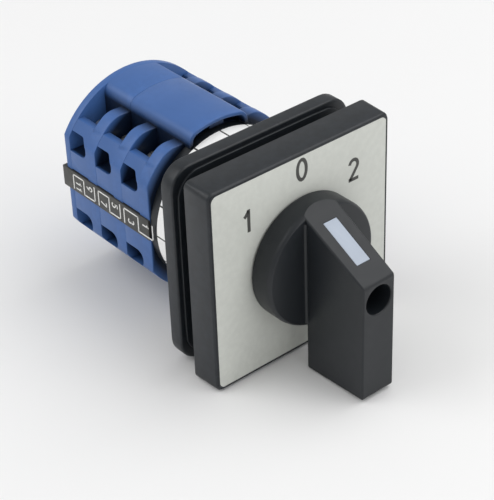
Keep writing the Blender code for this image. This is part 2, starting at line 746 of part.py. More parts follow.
def deck(name, front, overhang=0.0):
    """One contact deck: front wall, cam room, contact channels, terminal pockets, wire holes."""
    made = place(name, prism(deck_outline(), front - overhang, front + DECK_DEPTH), BLUE)
    if overhang:
        shaped(made, prism(between_hoods(), front - REACH, front))
    room = (front + DECK_WALL, front + REACH)
    through = (front - REACH, front + REACH)
    middle = front + ROOM_MIDDLE
    shaped(made, rod(CAM_ROOM, *room))
    shaped(made, rod(CAM_HUB_RADIUS + CLEAR, *through, sides=HUB_ROUND))
    half = CHANNEL_WIDTH / 2
    guide = PLUNGER_WIDTH / 2 + CLEAR
    bar_room = (middle - TERMINAL_WIDTH / 2 - CLEAR, front + REACH)
    for v in (1, -1):
        channel = sorted((v * CONTACT_FLOOR, v * CHANNEL_TOP))
        shaped(made, box((-half, half), room, channel))
        slot = sorted((v * CAM_RADIUS, v * (CONTACT_FLOOR + CLEAR)))
        shaped(made, box((-guide, guide), room, slot))
        for u in (1, -1):
            shaped(made, prism(mirrored(pocket_outline(), u < 0, v < 0), *room))
            wall = sorted((u * (half - CLEAR), u * (POCKET_INNER + CLEAR)))
            height = sorted((v * CONTACT_FLOOR, v * (TERMINAL_HIGH + CLEAR)))
            shaped(made, box(wall, bar_room, height))
            side = sorted((u * (POCKET_OUTER - CLEAR), u * REACH))
            shaped(made, prism(mirrored(wire_outline(front), False, v < 0), *side, "X"))
            well = sorted((v * (TERMINAL_LOW - CLAMP_SCREW_TIP - CLEAR), v * TERMINAL_LOW))
            shaped(made, rod(CLAMP_SCREW_RADIUS + CLEAR, *well,
                             (u * POCKET_MIDDLE, middle), "Z", SMALL_ROUND))
    outer = BODY_FLATS / 2
    groove = STRIP_WIDTH / 2 + CLEAR
    for u in (1, -1):
        shaped(made, rod(TIE_HOLE, *through, (u * TIE_OFFSET, 0), "Y", SMALL_ROUND))
        depth = sorted((u * (outer - STRIP_RECESS), u * REACH))
        shaped(made, box(depth, through, (-groove, groove)))
    if overhang:
        hood_recess(made, front, overhang)
    return made


def hood_recess(made, front, overhang):
    """Recess and tab under the front of each hood."""
    edge = front - overhang
    root = front + RECESS_DEPTH
    half = TAB_WIDTH / 2
    for v in (1, -1):
        shaped(made, prism(recess_outline(v), edge - REACH, root))
        height = sorted((v * TAB_LOW, v * TAB_HIGH))
        shaped(made, box((-half, half), (edge + TAB_SETBACK, root + CLEAR), height), "UNION")


def rear_cover():
    """End plate behind the last deck."""
    made = place("rear_cover", prism(body_outline(), COVER_FRONT, COVER_BACK), BLUE)
    shaped(made, rod(SHAFT_SWEEP, COVER_FRONT - REACH, COVER_FRONT + COVER_SOCKET, sides=HUB_ROUND))
    groove = STRIP_WIDTH / 2 + CLEAR
    outer = BODY_FLATS / 2
    for u in (1, -1):
        hole = rod(TIE_HOLE, COVER_FRONT - REACH, COVER_BACK + REACH, (u * TIE_OFFSET, 0), "Y",
                   SMALL_ROUND)
        shaped(made, hole)
        depth = sorted((u * (outer - STRIP_RECESS), u * REACH))
        limits = (COVER_FRONT - REACH, COVER_BACK + REACH)
        shaped(made, box(depth, limits, (-groove, groove)))
    return made


def cam(name, front):
    """Cam with a hub that turns in the deck's front wall."""
    low = front + DECK_WALL + CLEAR
    high = front + DECK_DEPTH - CLEAR
    made = place(name, prism(cam_outline(), low, high), INNER)
    shaped(made, rod(CAM_HUB_RADIUS, front + CLEAR, low + CLEAR, sides=HUB_ROUND), "UNION")
    shaped(made, prism(square(SHAFT_BORE), -REACH, 2 * REACH + front))
    return made


def plunger(name, y, side):
    """Plunger that rides on the cam and carries the bridge between two fingers."""
    half = PLUNGER_WIDTH / 2
    depth = PLUNGER_DEPTH / 2
    tip = CAM_RADIUS + CLEAR
    top = BRIDGE_LOW - CLEAR
    high = BRIDGE_LOW + BRIDGE_THICK + FORK_RISE - CLEAR
    outline = [(-PLUNGER_TIP, tip), (PLUNGER_TIP, tip), (half, tip + half - PLUNGER_TIP),
               (half, high), (-half, high), (-half, tip + half - PLUNGER_TIP)]
    mesh = prism(mirrored(outline, False, side < 0), y - depth, y + depth)
    made = place(name, mesh, INNER)
    gap = FORK_SLOT / 2
    cut = sorted((side * top, side * REACH))
    shaped(made, box((-REACH, REACH), (y - gap, y + gap), cut))
    return made


def bridge(name, y, side):
    """Moving contact bar."""
    height = sorted((side * BRIDGE_LOW, side * BRIDGE_HIGH))
    half = BRIDGE_WIDTH / 2
    bar = box((-BRIDGE_LENGTH / 2, BRIDGE_LENGTH / 2), (y - half, y + half), height)
    return place(name, bar, COPPER)


def contact_spring(name, y, side):
    """Coil between a bridge and the end of its channel."""
    mesh = coil(CONTACT_COIL_RADIUS, CONTACT_WIRE_RADIUS, SPRING_LOW, SPRING_HIGH, (0, y))
    if side < 0:
        mesh.transform(Matrix.Rotation(math.pi, 4, "Y"))
    return place(name, mesh, STEEL)


def terminal(name, y, u, v):
    """Fixed contact bar with its clamp plate and screw."""
    half = TERMINAL_WIDTH / 2
    outer = POCKET_OUTER - CLEAR
    height = sorted((v * TERMINAL_LOW, v * TERMINAL_HIGH))
    bar = box(sorted((u * TERMINAL_INNER, u * outer)), (y - half, y + half), height)
    made = place(name, bar, BRASS)
    x = u * POCKET_MIDDLE
    tip = TERMINAL_LOW - CLAMP_SCREW_TIP
    screw = [(0, CLAMP_HIGH + CLAMP_HEAD_DEPTH), (CLAMP_HEAD_RADIUS, CLAMP_HIGH + CLAMP_HEAD_DEPTH),
             (CLAMP_HEAD_RADIUS, CLAMP_HIGH - CLAMP_THICK / 2),
             (CLAMP_SCREW_RADIUS, CLAMP_HIGH - CLAMP_THICK / 2), (CLAMP_SCREW_RADIUS, tip), (0, tip)]
    mesh = turned(screw, (x, y), "Z")
    if v < 0:
        mesh.transform(Matrix.Translation((x, y, 0)) @ Matrix.Rotation(math.pi, 4, "X")
                       @ Matrix.Translation((-x, -y, 0)))
    shaped(made, mesh, "UNION")
    clamp = CLAMP_SIDE / 2
    plate = sorted((v * CLAMP_LOW, v * CLAMP_HIGH))
    shaped(made, box((x - clamp, x + clamp), (y - clamp, y + clamp), plate), "UNION")
    return made


# Fasteners and strips of the stack


def tie_bolt(name, x):
    """Long bolt from the rear cover through the stack into the rear frame."""
    seat = COVER_BACK + CLEAR
    end = seat + TIE_HEAD_DEPTH
    tip = FRAME_BACK - TIE_ENGAGEMENT
    profile = [(0, tip), (TIE_RADIUS, tip), (TIE_RADIUS, seat), (TIE_HEAD_RADIUS, seat),
               (TIE_HEAD_RADIUS, end), (0, end)]
    return place(name, turned(profile, (x, 0)), STEEL)


def marker_strip(name, side):
    """Strip in the groove of the side flats, hooked behind the rear cover."""
    inner = BODY_FLATS / 2 - STRIP_RECESS + CLEAR
    outer = inner + STRIP_THICK
    behind = COVER_BACK + CLEAR
    end = behind + STRIP_HOOK_THICK
    outline = [(inner, DECK_FRONT), (outer, DECK_FRONT), (outer, end), (inner - STRIP_HOOK, end),
               (inner - STRIP_HOOK, behind), (inner, behind)]
    half = STRIP_WIDTH / 2
    return place(name, prism(mirrored(outline, side < 0), -half, half, "Z"), STRIP)


def main():
    """Build every piece and carry the moving ones on their axes."""
    front_bezel()
    legend_plate()
    rear_frame()
    mounting_screws()
    turning = [handle(), handle_pointer(), handle_screw(), shaft(), star_wheel()]
    detent_housing()
    for word, side in (("upper", 1), ("lower", -1)):
        slide = axis_empty("slide_detent_" + word, (0, sum(detent_limits()) / 2, side * STAR_TOP))
        carry(slide, detent_slider("detent_slider_" + word, side))
        detent_spring("detent_spring_" + word, side)
    deck("deck_1", DECK_FRONT, HOOD_OVERHANG)
    second = deck("deck_2", DECK_FRONT + DECK_PITCH)
    for i in range(2, DECK_COUNT):
        copied("deck_%d" % (i + 1), second, BLUE, (0, (i - 1) * DECK_PITCH, 0))
    rear_cover()
    for i in range(DECK_COUNT):
        front = DECK_FRONT + i * DECK_PITCH
        y = front + ROOM_MIDDLE
        turning.append(cam("cam_%d" % (i + 1), front))
        for word, side in (("upper", 1), ("lower", -1)):
            label = "%s_%d" % (word, i + 1)
            slide = axis_empty("slide_" + label, (0, y, side * BRIDGE_LOW))
            carry(slide, plunger("plunger_" + label, y, side),
                  bridge("contact_bridge_" + label, y, side))
            contact_spring("contact_spring_" + label, y, side)
            terminal("terminal_left_" + label, y, -1, side)
            terminal("terminal_right_" + label, y, 1, side)
    carry(axis_empty("handle_axis", (0, 0, 0)), *turning)
    for word, side in (("left", -1), ("right", 1)):
        tie_bolt("tie_bolt_" + word, side * TIE_OFFSET)
        marker_strip("marker_strip_" + word, side)


main()
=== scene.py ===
"""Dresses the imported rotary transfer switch: moulded black and blue plastics, printed plates,
plated screws, and a pale studio stage seen from the photograph's angle.

Lengths are in metres, in the frame of the solids: X to the right seen from the front, Y from
the handle into the panel, Z up. A shell is a tuple of points, faces and an edge mask; the mask
is 1 on rounded edges, where the materials show wear.
"""

import json
import math

import bmesh
import bpy
import numpy as np
from mathutils import Matrix, Vector


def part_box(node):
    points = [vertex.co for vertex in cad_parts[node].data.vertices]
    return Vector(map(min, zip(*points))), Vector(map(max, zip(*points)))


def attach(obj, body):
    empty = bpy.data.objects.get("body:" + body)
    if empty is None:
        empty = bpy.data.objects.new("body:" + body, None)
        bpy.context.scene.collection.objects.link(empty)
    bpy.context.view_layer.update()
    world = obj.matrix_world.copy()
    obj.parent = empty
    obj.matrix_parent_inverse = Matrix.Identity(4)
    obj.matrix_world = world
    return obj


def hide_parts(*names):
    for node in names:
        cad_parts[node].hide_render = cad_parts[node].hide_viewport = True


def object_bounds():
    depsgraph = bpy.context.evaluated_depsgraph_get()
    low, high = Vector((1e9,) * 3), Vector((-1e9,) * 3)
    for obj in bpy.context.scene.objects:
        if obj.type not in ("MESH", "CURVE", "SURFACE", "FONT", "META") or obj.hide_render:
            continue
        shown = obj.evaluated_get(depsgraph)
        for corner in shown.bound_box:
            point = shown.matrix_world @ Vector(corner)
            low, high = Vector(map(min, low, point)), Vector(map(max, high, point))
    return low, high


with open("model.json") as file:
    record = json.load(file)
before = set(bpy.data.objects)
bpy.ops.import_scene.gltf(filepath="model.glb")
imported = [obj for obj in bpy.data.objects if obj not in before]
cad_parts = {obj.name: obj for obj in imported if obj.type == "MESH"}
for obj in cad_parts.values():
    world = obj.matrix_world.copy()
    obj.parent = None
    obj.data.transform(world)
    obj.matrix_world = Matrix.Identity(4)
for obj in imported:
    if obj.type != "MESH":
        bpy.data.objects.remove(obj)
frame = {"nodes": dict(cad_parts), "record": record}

bl_info = {
    "name": "Transfer switch dressing",
    "version": (1, 0, 0),
    "blender": (4, 5, 0),
    "location": "3D View > Sidebar > Switch",
    "description": "Builds the visible surfaces and the stage of a rotary transfer switch",
    "category": "Object",
}

CAD_LOW, CAD_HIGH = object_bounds()
MM = 0.001
TIP = 1e-5  # radius that stands for a point on the axis
CREASE = 32  # degrees above which an edge stays sharp
LEGEND_WEIGHT, STRIP_WEIGHT = 0.15, 0.16  # strokes of the numbers, as shares of their height
DIGIT_BOX, DIGIT_PITCH = (0.44, 0.87), 0.66  # width and height of a digit's lines, and their pitch
DECKS = ("deck_1", "deck_2", "deck_3")
SIDES = (("left", -1), ("right", 1))
LEVELS = (("upper", 1), ("lower", -1))


def length(label, text, millimetres):
    """Length property with its default given in millimetres."""
    return bpy.props.FloatProperty(name=label, description=text, default=millimetres * MM,
                                   unit="LENGTH", precision=5)


def number(label, text, value):
    """Plain number property."""
    return bpy.props.FloatProperty(name=label, description=text, default=value, precision=4)


def tint(label, text, red, green, blue):
    """Colour property in linear light."""
    return bpy.props.FloatVectorProperty(name=label, description=text, subtype="COLOR", size=3,
                                         min=0.0, max=1.0, default=(red, green, blue))


class SwitchSizes(bpy.types.PropertyGroup):
    """Sizes of the visible surfaces that the solids leave plain."""

    bezel_corner: length("Bezel corner", "Corner radius of the front bezel", 1.5)
    bezel_edge: length("Bezel edge", "Rounding of the bezel's front edge", 0.7)
    bezel_draft: length("Bezel draft", "How much the bezel narrows towards its front", 0.2)
    bezel_wall: length("Bezel wall", "Side wall of the bezel", 2.0)
    bezel_lip: length("Bezel lip", "Rounding of the lip round the legend plate", 0.15)
    legend_gap: length("Legend gap", "Gap round the legend plate", 0.2)
    legend_corner: length("Legend corner", "Corner radius of the legend plate", 1.1)
    legend_edge: length("Legend edge", "Rounding of the legend plate's edge", 0.12)
    hub_hole: length("Hub hole", "Radius of the holes for the handle's hub", 6.3)
    hub_ring: length("Hub ring", "Radius of the ring behind the bezel's face", 10.0)
    face_thick: length("Bezel face", "Thickness of the bezel's face behind the legend", 2.4)
    digit_height: length("Digit height", "Height of the numbers on the legend plate", 5.3)
    digit_radius: length("Digit radius", "Distance of the numbers from the axis", 19.9)
    print_height: length("Print height", "How far print stands on its surface", 0.02)
    frame_corner: length("Frame corner", "Corner radius of the rear frame", 5.0)
    frame_edge: length("Frame edge", "Rounding of the rear frame's edges", 0.45)
    frame_lip_half: length("Frame lip half", "Half the side of the frame's front seat", 22.3)
    frame_lip_rise: length("Frame lip rise", "How far the border lies behind that seat", 0.5)
    boss_half: length("Boss half", "Half the side of the rear frame's raised square", 20.5)
    boss_corner: length("Boss corner", "Corner radius of the raised square", 6.0)
    boss_rise: length("Boss rise", "Height of the raised square", 1.8)
    shaft_hole: length("Shaft hole", "Radius of the holes that the shaft turns in", 3.84)
    disc_depth: length("Disc depth", "Depth of the handle's disc", 5.6)
    disc_edge: length("Disc edge", "Rounding of the disc's front edge, across", 0.7)
    disc_run: length("Disc run", "Rounding of the disc's front edge, along the axis", 1.4)
    disc_hub: length("Disc hub", "Radius of the hub behind the disc", 6.0)
    lever_width: length("Lever width", "Width of the lever at the disc", 9.0)
    lever_nose_width: length("Lever nose width", "Width of the lever at its nose", 8.4)
    lever_nose: length("Lever nose", "Height of the lever's nose above the axis", 4.4)
    lever_shoulder: length("Lever shoulder", "Height where the slope meets the disc", 13.0)
    lever_root: length("Lever root", "Reach of the lever inside the disc", 11.2)
    lever_edge: length("Lever edge", "Rounding of the lever's edges", 0.38)
    lever_drop: length("Lever drop", "How much lower the tail ends at its rear", 0.6)
    lever_fillet: length("Lever fillet", "Fillet between the lever's sides and the disc", 0.55)
    bore_radius: length("Bore radius", "Radius of the screw bore in the lever's nose", 3.3)
    bore_depth: length("Bore depth", "Depth of the screw bore", 12.1)
    drum_edge: length("Drum edge", "Rounding of the drum's edges", 0.3)
    drum_wall: length("Drum wall", "Front wall of the drum", 5.0)
    drum_bore: length("Drum bore", "Inner radius of the drum", 15.9)
    label_margin: length("Label margin", "Bare drum in front of the label", 0.35)
    label_back: length("Label back", "Bare drum behind the label", 2.3)
    label_thick: length("Label thickness", "Thickness of the paper label", 0.08)
    deck_wall: length("Deck wall", "Front wall of a contact deck", 3.2)
    deck_depth: length("Deck depth", "Depth of a contact deck", 9.05)
    deck_gap: length("Deck gap", "Gap that the solids leave between decks", 0.2)
    deck_edge: length("Deck edge", "Rounding of the decks' free edges", 0.22)
    deck_seam: length("Deck seam", "Rounding and gap of the seams between decks", 0.05)
    deck_hub: length("Deck hub", "Radius of the hole for a cam's hub", 5.0)
    floor_height: length("Contact floor", "Distance from the axis to the contact floor", 7.4)
    channel_half: length("Channel half", "Half the width of a contact channel", 6.9)
    channel_top: length("Channel top", "Distance from the axis to a channel's end", 17.0)
    hood_half: length("Hood half", "Half the width of the hood over the contacts", 7.8)
    hood_shoulder: length("Hood shoulder", "Radius of the hood's shoulders", 2.5)
    hood_shell: length("Hood shell", "Thickness of the first deck's hood at its front", 0.9)
    rib_top: length("Rib top", "Distance from the axis to the top of the front wall", 17.15)
    rib_foot: length("Rib foot", "The same, where the wall meets the hood", 16.95)
    ledge_top: length("Ledge top", "Distance from the axis to the ledge beside a pocket", 14.2)
    pocket_outer: length("Pocket outer", "Outer wall of a terminal pocket", 13.4)
    wire_front: length("Wire front", "Front edge of a wire hole from the deck's front", 3.35)
    wire_high: length("Wire high", "Far edge of a wire hole from the axis", 12.1)
    wire_cut: length("Wire cut", "Cut corner of a wire hole, far from the axis", 1.7)
    wire_round: length("Wire round", "Rounded corner of a wire hole, near the axis", 1.9)
    recess_inner: length("Recess inner", "Distance from the axis to the recess under a hood", 18.1)
    recess_depth: length("Recess depth", "Depth of that recess behind the deck's front", 1.4)
    tab_half: length("Tab half", "Half the width of the tab in that recess", 1.9)
    tab_low: length("Tab low", "Distance from the axis to the tab", 18.5)
    tab_high: length("Tab high", "Distance from the axis to the tab's top", 19.6)
    tab_setback: length("Tab setback", "From the hood's front to the tab's front", 0.8)
    strip_edge: length("Strip edge", "Rounding of the marker strips", 0.12)
    strip_line: length("Strip line", "Width of the white lines on the strips", 0.34)
    strip_digit: length("Strip digit", "Height of the numbers on the strips", 2.1)
    head_slot: length("Head slot", "Width of the slots in the screw heads", 0.7)


class SwitchColours(bpy.types.PropertyGroup):
    """Colours of the finishes, in linear light."""

    black: tint("Black", "Moulded black plastic", 0.0088, 0.0114, 0.0146)
    blue: tint("Blue", "Moulded blue plastic", 0.047, 0.122, 0.335)
    legend: tint("Legend", "Legend plate", 0.575, 0.590, 0.550)
    ink: tint("Ink", "Printed numbers on the legend plate", 0.060, 0.060, 0.056)
    pointer: tint("Pointer", "Insert in the lever", 0.415, 0.470, 0.555)
    strip: tint("Strip", "Marker strips", 0.045, 0.045, 0.042)
    white: tint("White", "White print", 0.800, 0.800, 0.780)
    paper: tint("Paper", "Paper label", 0.970, 0.970, 0.960)
    natural: tint("Natural", "Inner mouldings", 0.620, 0.590, 0.500)
    steel: tint("Steel", "Plated steel", 0.620, 0.620, 0.610)
    brass: tint("Brass", "Brass of the terminals", 0.720, 0.540, 0.260)
    copper: tint("Copper", "Silvered copper of the contacts", 0.760, 0.560, 0.460)


class SwitchStage(bpy.types.PropertyGroup):
    """Camera, floor and light."""

    azimuth: number("Azimuth", "Degrees that the camera stands to the left", 38.92)
    elevation: number("Elevation", "Degrees that the camera stands above", 34.34)
    roll: number("Roll", "Degrees that the camera is turned", -2.22)
    distance: length("Distance", "From the camera to its target", 331.64)
    target_x: length("Target X", "Camera target, to the right", -14.70)
    target_y: length("Target Y", "Camera target, into the panel", -7.20)
    target_z: length("Target Z", "Camera target, up", 7.51)
    focal: number("Focal length", "Lens in millimetres on a 36 mm frame", 121.13)
    floor: tint("Floor", "Floor and backdrop", 0.86, 0.86, 0.86)
    sky: number("Sky", "Strength of the even light from all round", 0.58)


def sizes():
    """The sizes chosen in the scene."""
    return bpy.context.scene.switch_sizes


# Arrays for outlines and rings


def square_angles(half, corner, side_steps=9, corner_steps=9):
    """Angles of points on a rounded square: even steps on each side and each corner arc."""
    flat = half - corner
    side = np.column_stack((np.full(side_steps, half), np.linspace(-flat, flat, side_steps)))
    turn = np.linspace(0, np.pi / 2, corner_steps)[1:-1]
    arc = np.column_stack((flat + corner * np.cos(turn), flat + corner * np.sin(turn)))
    points = np.vstack((side, arc))
    quarter = np.arctan2(points[:, 1], points[:, 0])
    return np.concatenate([quarter + i * np.pi / 2 for i in range(4)])


def square_radius(angles, half, corner):
    """Distance from the axis to a rounded square: the ray meets the flat side, or else the
    corner's circle, where it solves the circle's quadratic."""
    folded = np.abs((angles + np.pi / 4) % (np.pi / 2) - np.pi / 4)
    flat = half - corner
    spread = np.cos(folded) + np.sin(folded)
    root = np.sqrt(np.maximum((flat * spread) ** 2 - 2 * flat ** 2 + corner ** 2, 0))
    on_side = np.tan(folded) * half <= flat
    return np.where(on_side, half / np.cos(folded), flat * spread + root)


def full_turn(steps=128):
    """Even angles round the axis."""
    return np.linspace(0, 2 * np.pi, steps, endpoint=False)


def body_angles(radius, flat):
    """Even angles round the body, with the four corners of its flats added."""
    corner = math.acos(flat / radius)
    corners = np.array([corner, np.pi - corner, np.pi + corner, 2 * np.pi - corner])
    return np.unique(np.concatenate((full_turn(), corners)))


def body_radius(angles, radius, flat):
    """Distance from the axis to a circle whose left and right sides are cut flat."""
    return np.minimum(radius, flat / np.maximum(np.abs(np.cos(angles)), 1e-6))


def ring(angles, radius, y):
    """Closed ring about the Y axis; radius and y are numbers or one value for each angle."""
    radius = np.broadcast_to(radius, angles.shape)
    depth = np.broadcast_to(y, angles.shape)
    return np.column_stack((radius * np.cos(angles), depth, radius * np.sin(angles)))


def quarter_steps(steps=5):
    """Sine and cosine pairs over a quarter turn, for rounded edges."""
    turn = np.linspace(0, np.pi / 2, steps)
    return list(zip(np.sin(turn), np.cos(turn)))


def arc_points(centre, radius, start, end, steps):
    """Points on a circle between two angles in degrees."""
    turn = np.radians(np.linspace(start, end, steps))
    return np.column_stack((centre[0] + radius * np.cos(turn), centre[1] + radius * np.sin(turn)))


def softened(outline, cut, steps=5):
    """Outline with each corner replaced by a parabola that leaves the sides cut away from it;
    a corner with no cut stays as it is."""
    points = np.asarray(outline, float)
    cut = np.broadcast_to(np.asarray(cut, float), len(points))
    before = np.roll(points, 1, axis=0) - points
    after = np.roll(points, -1, axis=0) - points
    first = points + before / np.linalg.norm(before, axis=1, keepdims=True) * cut[:, None]
    last = points + after / np.linalg.norm(after, axis=1, keepdims=True) * cut[:, None]
    s = np.linspace(0, 1, steps)[None, :, None]
    bend = (1 - s) ** 2 * first[:, None] + 2 * s * (1 - s) * points[:, None] + s ** 2 * last[:, None]
    return bend[(cut[:, None] > 0) | (np.arange(steps) == 0)]


def signed_area(outline):
    """Area of an outline, positive where it runs anticlockwise."""
    following = np.roll(outline, -1, axis=0)
    return 0.5 * np.sum(outline[:, 0] * following[:, 1] - following[:, 0] * outline[:, 1])


def inset(outline, distance):
    """Anticlockwise outline moved inwards: each point goes along the mean of its two normals,
    stretched so that both sides move by the distance."""
    along = np.roll(outline, -1, axis=0) - outline
    along = along / np.linalg.norm(along, axis=1, keepdims=True)
    normal = np.column_stack((-along[:, 1], along[:, 0]))
    previous = np.roll(normal, 1, axis=0)
    share = 1 + np.sum(normal * previous, axis=1, keepdims=True)
    return outline + distance * (normal + previous) / np.maximum(share, 0.3)


def rim(kind, size, at, edge, steps, run=None):
    """Pairs of size and depth round an edge, over a quarter turn: a front rim grows to its size
    behind the front, a rear rim shrinks towards the rear, and a mouth widens to the front."""
    run = edge if run is None else run
    pairs = [(1 - sine, 1 - cosine) for sine, cosine in quarter_steps(steps)]
    if kind == "front":
        return [(size - edge * rise, at + run * fall) for rise, fall in pairs]
    if kind == "rear":
        return [(size - edge * fall, at - run * rise) for rise, fall in pairs]
    return [(size + edge * fall, at + run * rise) for rise, fall in pairs]


# Shells


def grid_faces(rows, columns, closed):
    """Quads of a grid that is closed round its columns, and round its rows where asked."""
    index = np.arange(rows * columns).reshape(rows, columns)
    upper = np.vstack((index, index[:1])) if closed else index
    following = np.roll(upper, -1, axis=1)
    quads = np.stack((upper[:-1], following[:-1], following[1:], upper[1:]), axis=-1)
    return quads.reshape(-1, 4).tolist()


def loft(rings, masks=None, closed=True):
    """Surface through rings with equal counts; an open one is capped at both ends."""
    count = len(rings[0])
    faces = grid_faces(len(rings), count, closed)
    if not closed:
        last = (len(rings) - 1) * count
        faces.append(list(range(count)))
        faces.append(list(range(last, last + count)))
    mask = np.repeat(np.zeros(len(rings)) if masks is None else np.asarray(masks, float), count)
    return np.vstack(rings), faces, mask


class Rings:
    """Rings about the Y axis with their edge masks, collected along a profile."""

    def __init__(self, angles):
        self.angles, self.rings, self.masks = angles, [], []

    def add(self, size, y, mask=0.0, corner=None):
        """One ring: a circle or given radii, or a rounded square where a corner is named."""
        radius = size if corner is None else square_radius(self.angles, size, corner)
        self.rings.append(ring(self.angles, radius, y))
        self.masks.append(mask)

    def rim(self, kind, size, y, edge, steps, mask=1.0, corner=None):
        """Rings round an edge."""
        for part, depth in rim(kind, size, y, edge, steps):
            self.add(part, depth, mask, corner)

    def shell(self, closed=True):
        """Surface through all rings."""
        return loft(self.rings, self.masks, closed)


def axis_order(points, axis):
    """Points given as (u, v, along) set on an axis: along Y, X or Z."""
    order = {"Y": (0, 2, 1), "X": (2, 0, 1), "Z": (0, 1, 2)}[axis]
    return points[:, order]


def prism(outline, low, high, axis="Y", edge=0.0, steps=5, rear=None, hole=0.0):
    """Outline carried from low to high along an axis, with its near rim rounded by edge and its
    far rim by rear: a rim ring is inset by edge (1 - sin t) and set back by edge (1 - cos t).
    The edges are numbers or one value for each point; a hole is a round opening on the axis."""
    outline = np.asarray(outline, float)
    edge = np.broadcast_to(np.asarray(edge, float), len(outline))
    rear = edge if rear is None else np.broadcast_to(np.asarray(rear, float), len(outline))
    if signed_area(outline) < 0:
        outline, edge, rear = outline[::-1], edge[::-1], rear[::-1]
    rings, masks = [], []
    for size, start, way in ((edge, low, 1), (rear, high, -1)):
        rim = []
        for sine, cosine in quarter_steps(steps) if size.any() else [(1.0, 1.0)]:
            flat = inset(outline, (size * (1 - sine))[:, None])
            rim.append(axis_order(np.column_stack((flat, start + way * size * (1 - cosine))), axis))
        rings += rim[::way]
        masks += [float(size.any())] * len(rim)
    masks[0] = masks[-1] = 0.0
    if not hole:
        return loft(rings, masks, closed=False)
    angles = np.arctan2(outline[:, 1], outline[:, 0])
    circle = hole * np.column_stack((np.cos(angles), np.sin(angles)))
    ends = [axis_order(np.column_stack((circle, np.full(len(circle), along))), axis)
            for along in (low, high)]
    return loft([ends[0]] + rings + [ends[1]], [0.0] + masks + [0.0])


def turned(profile, centre=(0.0, 0.0), axis="Y", steps=64):
    """Profile of (radius, along) points turned about an axis and capped at both ends."""
    turn = full_turn(steps)
    rings = []
    for radius, along in profile:
        flat = np.column_stack((centre[0] + radius * np.cos(turn), centre[1] + radius * np.sin(turn),
                                np.full(steps, along)))
        rings.append(axis_order(flat, axis))
    return loft(rings, closed=False)


def rectangle(u, v):
    """Outline of a rectangle between two pairs of limits."""
    return np.array([(u[0], v[0]), (u[1], v[0]), (u[1], v[1]), (u[0], v[1])])


def joined(*shells):
    """Several shells as one."""
    points, faces, masks, start = [], [], [], 0
    for shell_points, shell_faces, mask in shells:
        points.append(shell_points)
        faces += [[i + start for i in face] for face in shell_faces]
        masks.append(mask)
        start += len(shell_points)
    return np.vstack(points), faces, np.concatenate(masks)


def moved(shell, offset=(0, 0, 0), flip=(1, 1, 1)):
    """Shell mirrored by signs and then moved."""
    points, faces, mask = shell
    return points * np.asarray(flip) + np.asarray(offset), faces, mask


def shell_mesh(name, shell, crease=CREASE):
    """Mesh of a shell with its faces turned outwards and sharp creases marked."""
    points, faces, mask = shell
    mesh = bpy.data.meshes.new(name)
    mesh.from_pydata(points.tolist(), [], faces)
    mesh.attributes.new("edge", "FLOAT", "POINT").data.foreach_set("value", mask)
    work = bmesh.new()
    work.from_mesh(mesh)
    bmesh.ops.remove_doubles(work, verts=work.verts, dist=1e-8)
    bmesh.ops.recalc_face_normals(work, faces=work.faces)
    work.to_mesh(mesh)
    work.free()
    mesh.shade_smooth()
    mesh.set_sharp_from_angle(angle=math.radians(crease))
    return mesh


def carved(name, shell, tools, operation="DIFFERENCE"):
    """Mesh of a shell with other shells cut out of it or joined on."""
    made = bpy.data.objects.new(name, shell_mesh(name, shell))
    bpy.context.collection.objects.link(made)
    helpers = []
    for tool in tools:
        helper = bpy.data.objects.new(name + "_tool", shell_mesh(name + "_tool", tool))
        bpy.context.collection.objects.link(helper)
        step = made.modifiers.new("carve", "BOOLEAN")
        step.operation = operation
        step.solver = "EXACT"
        step.object = helper
        helpers.append(helper)
    bpy.context.view_layer.update()
    graph = bpy.context.evaluated_depsgraph_get()
    mesh = bpy.data.meshes.new_from_object(made.evaluated_get(graph))
    mesh.name = name
    for helper in helpers + [made]:
        bpy.data.objects.remove(helper, do_unlink=True)
    mesh.shade_smooth()
    mesh.set_sharp_from_angle(angle=math.radians(CREASE))
    return mesh


def mesh_shell(mesh):
    """Arrays of a finished mesh, so that it can be set out again elsewhere."""
    points = np.empty(len(mesh.vertices) * 3)
    mesh.vertices.foreach_get("co", points)
    faces = [list(face.vertices) for face in mesh.polygons]
    return points.reshape(-1, 3), faces, np.zeros(len(mesh.vertices))


def piece(name, mesh, finish, *nodes, body="stack", slot=None):
    """Object for a mesh or shell that rides on a body and stands for CAD nodes.
    The slot argument is not used."""
    slot = slot or finish
    if isinstance(mesh, tuple):
        mesh = shell_mesh(name, mesh)
    made = bpy.data.objects.new(name, mesh)
    bpy.context.scene.collection.objects.link(made)
    mesh.materials.clear()
    mesh.materials.append(finishes()[finish])
    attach(made, body)
    if nodes:
        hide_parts(*nodes)
    return made


# Finishes


class Wiring:
    """Short hand for wiring the nodes of one tree."""

    def __init__(self, tree):
        self.tree = tree

    def add(self, kind, output, sockets=None, **settings):
        """New node with its settings and fed sockets; gives one of its outputs."""
        node = self.tree.nodes.new(kind)
        for key, value in settings.items():
            setattr(node, key, value)
        for key, value in (sockets or {}).items():
            self.feed(node.inputs[key], value)
        return node.outputs[output] if output else node

    def feed(self, socket, value):
        """Links a socket to another, or gives it a plain value."""
        if isinstance(value, bpy.types.NodeSocket):
            self.tree.links.new(value, socket)
        else:
            socket.default_value = value

    def math(self, operation, first, second=0.0):
        """One arithmetic step."""
        return self.add("ShaderNodeMath", "Value", {0: first, 1: second}, operation=operation)


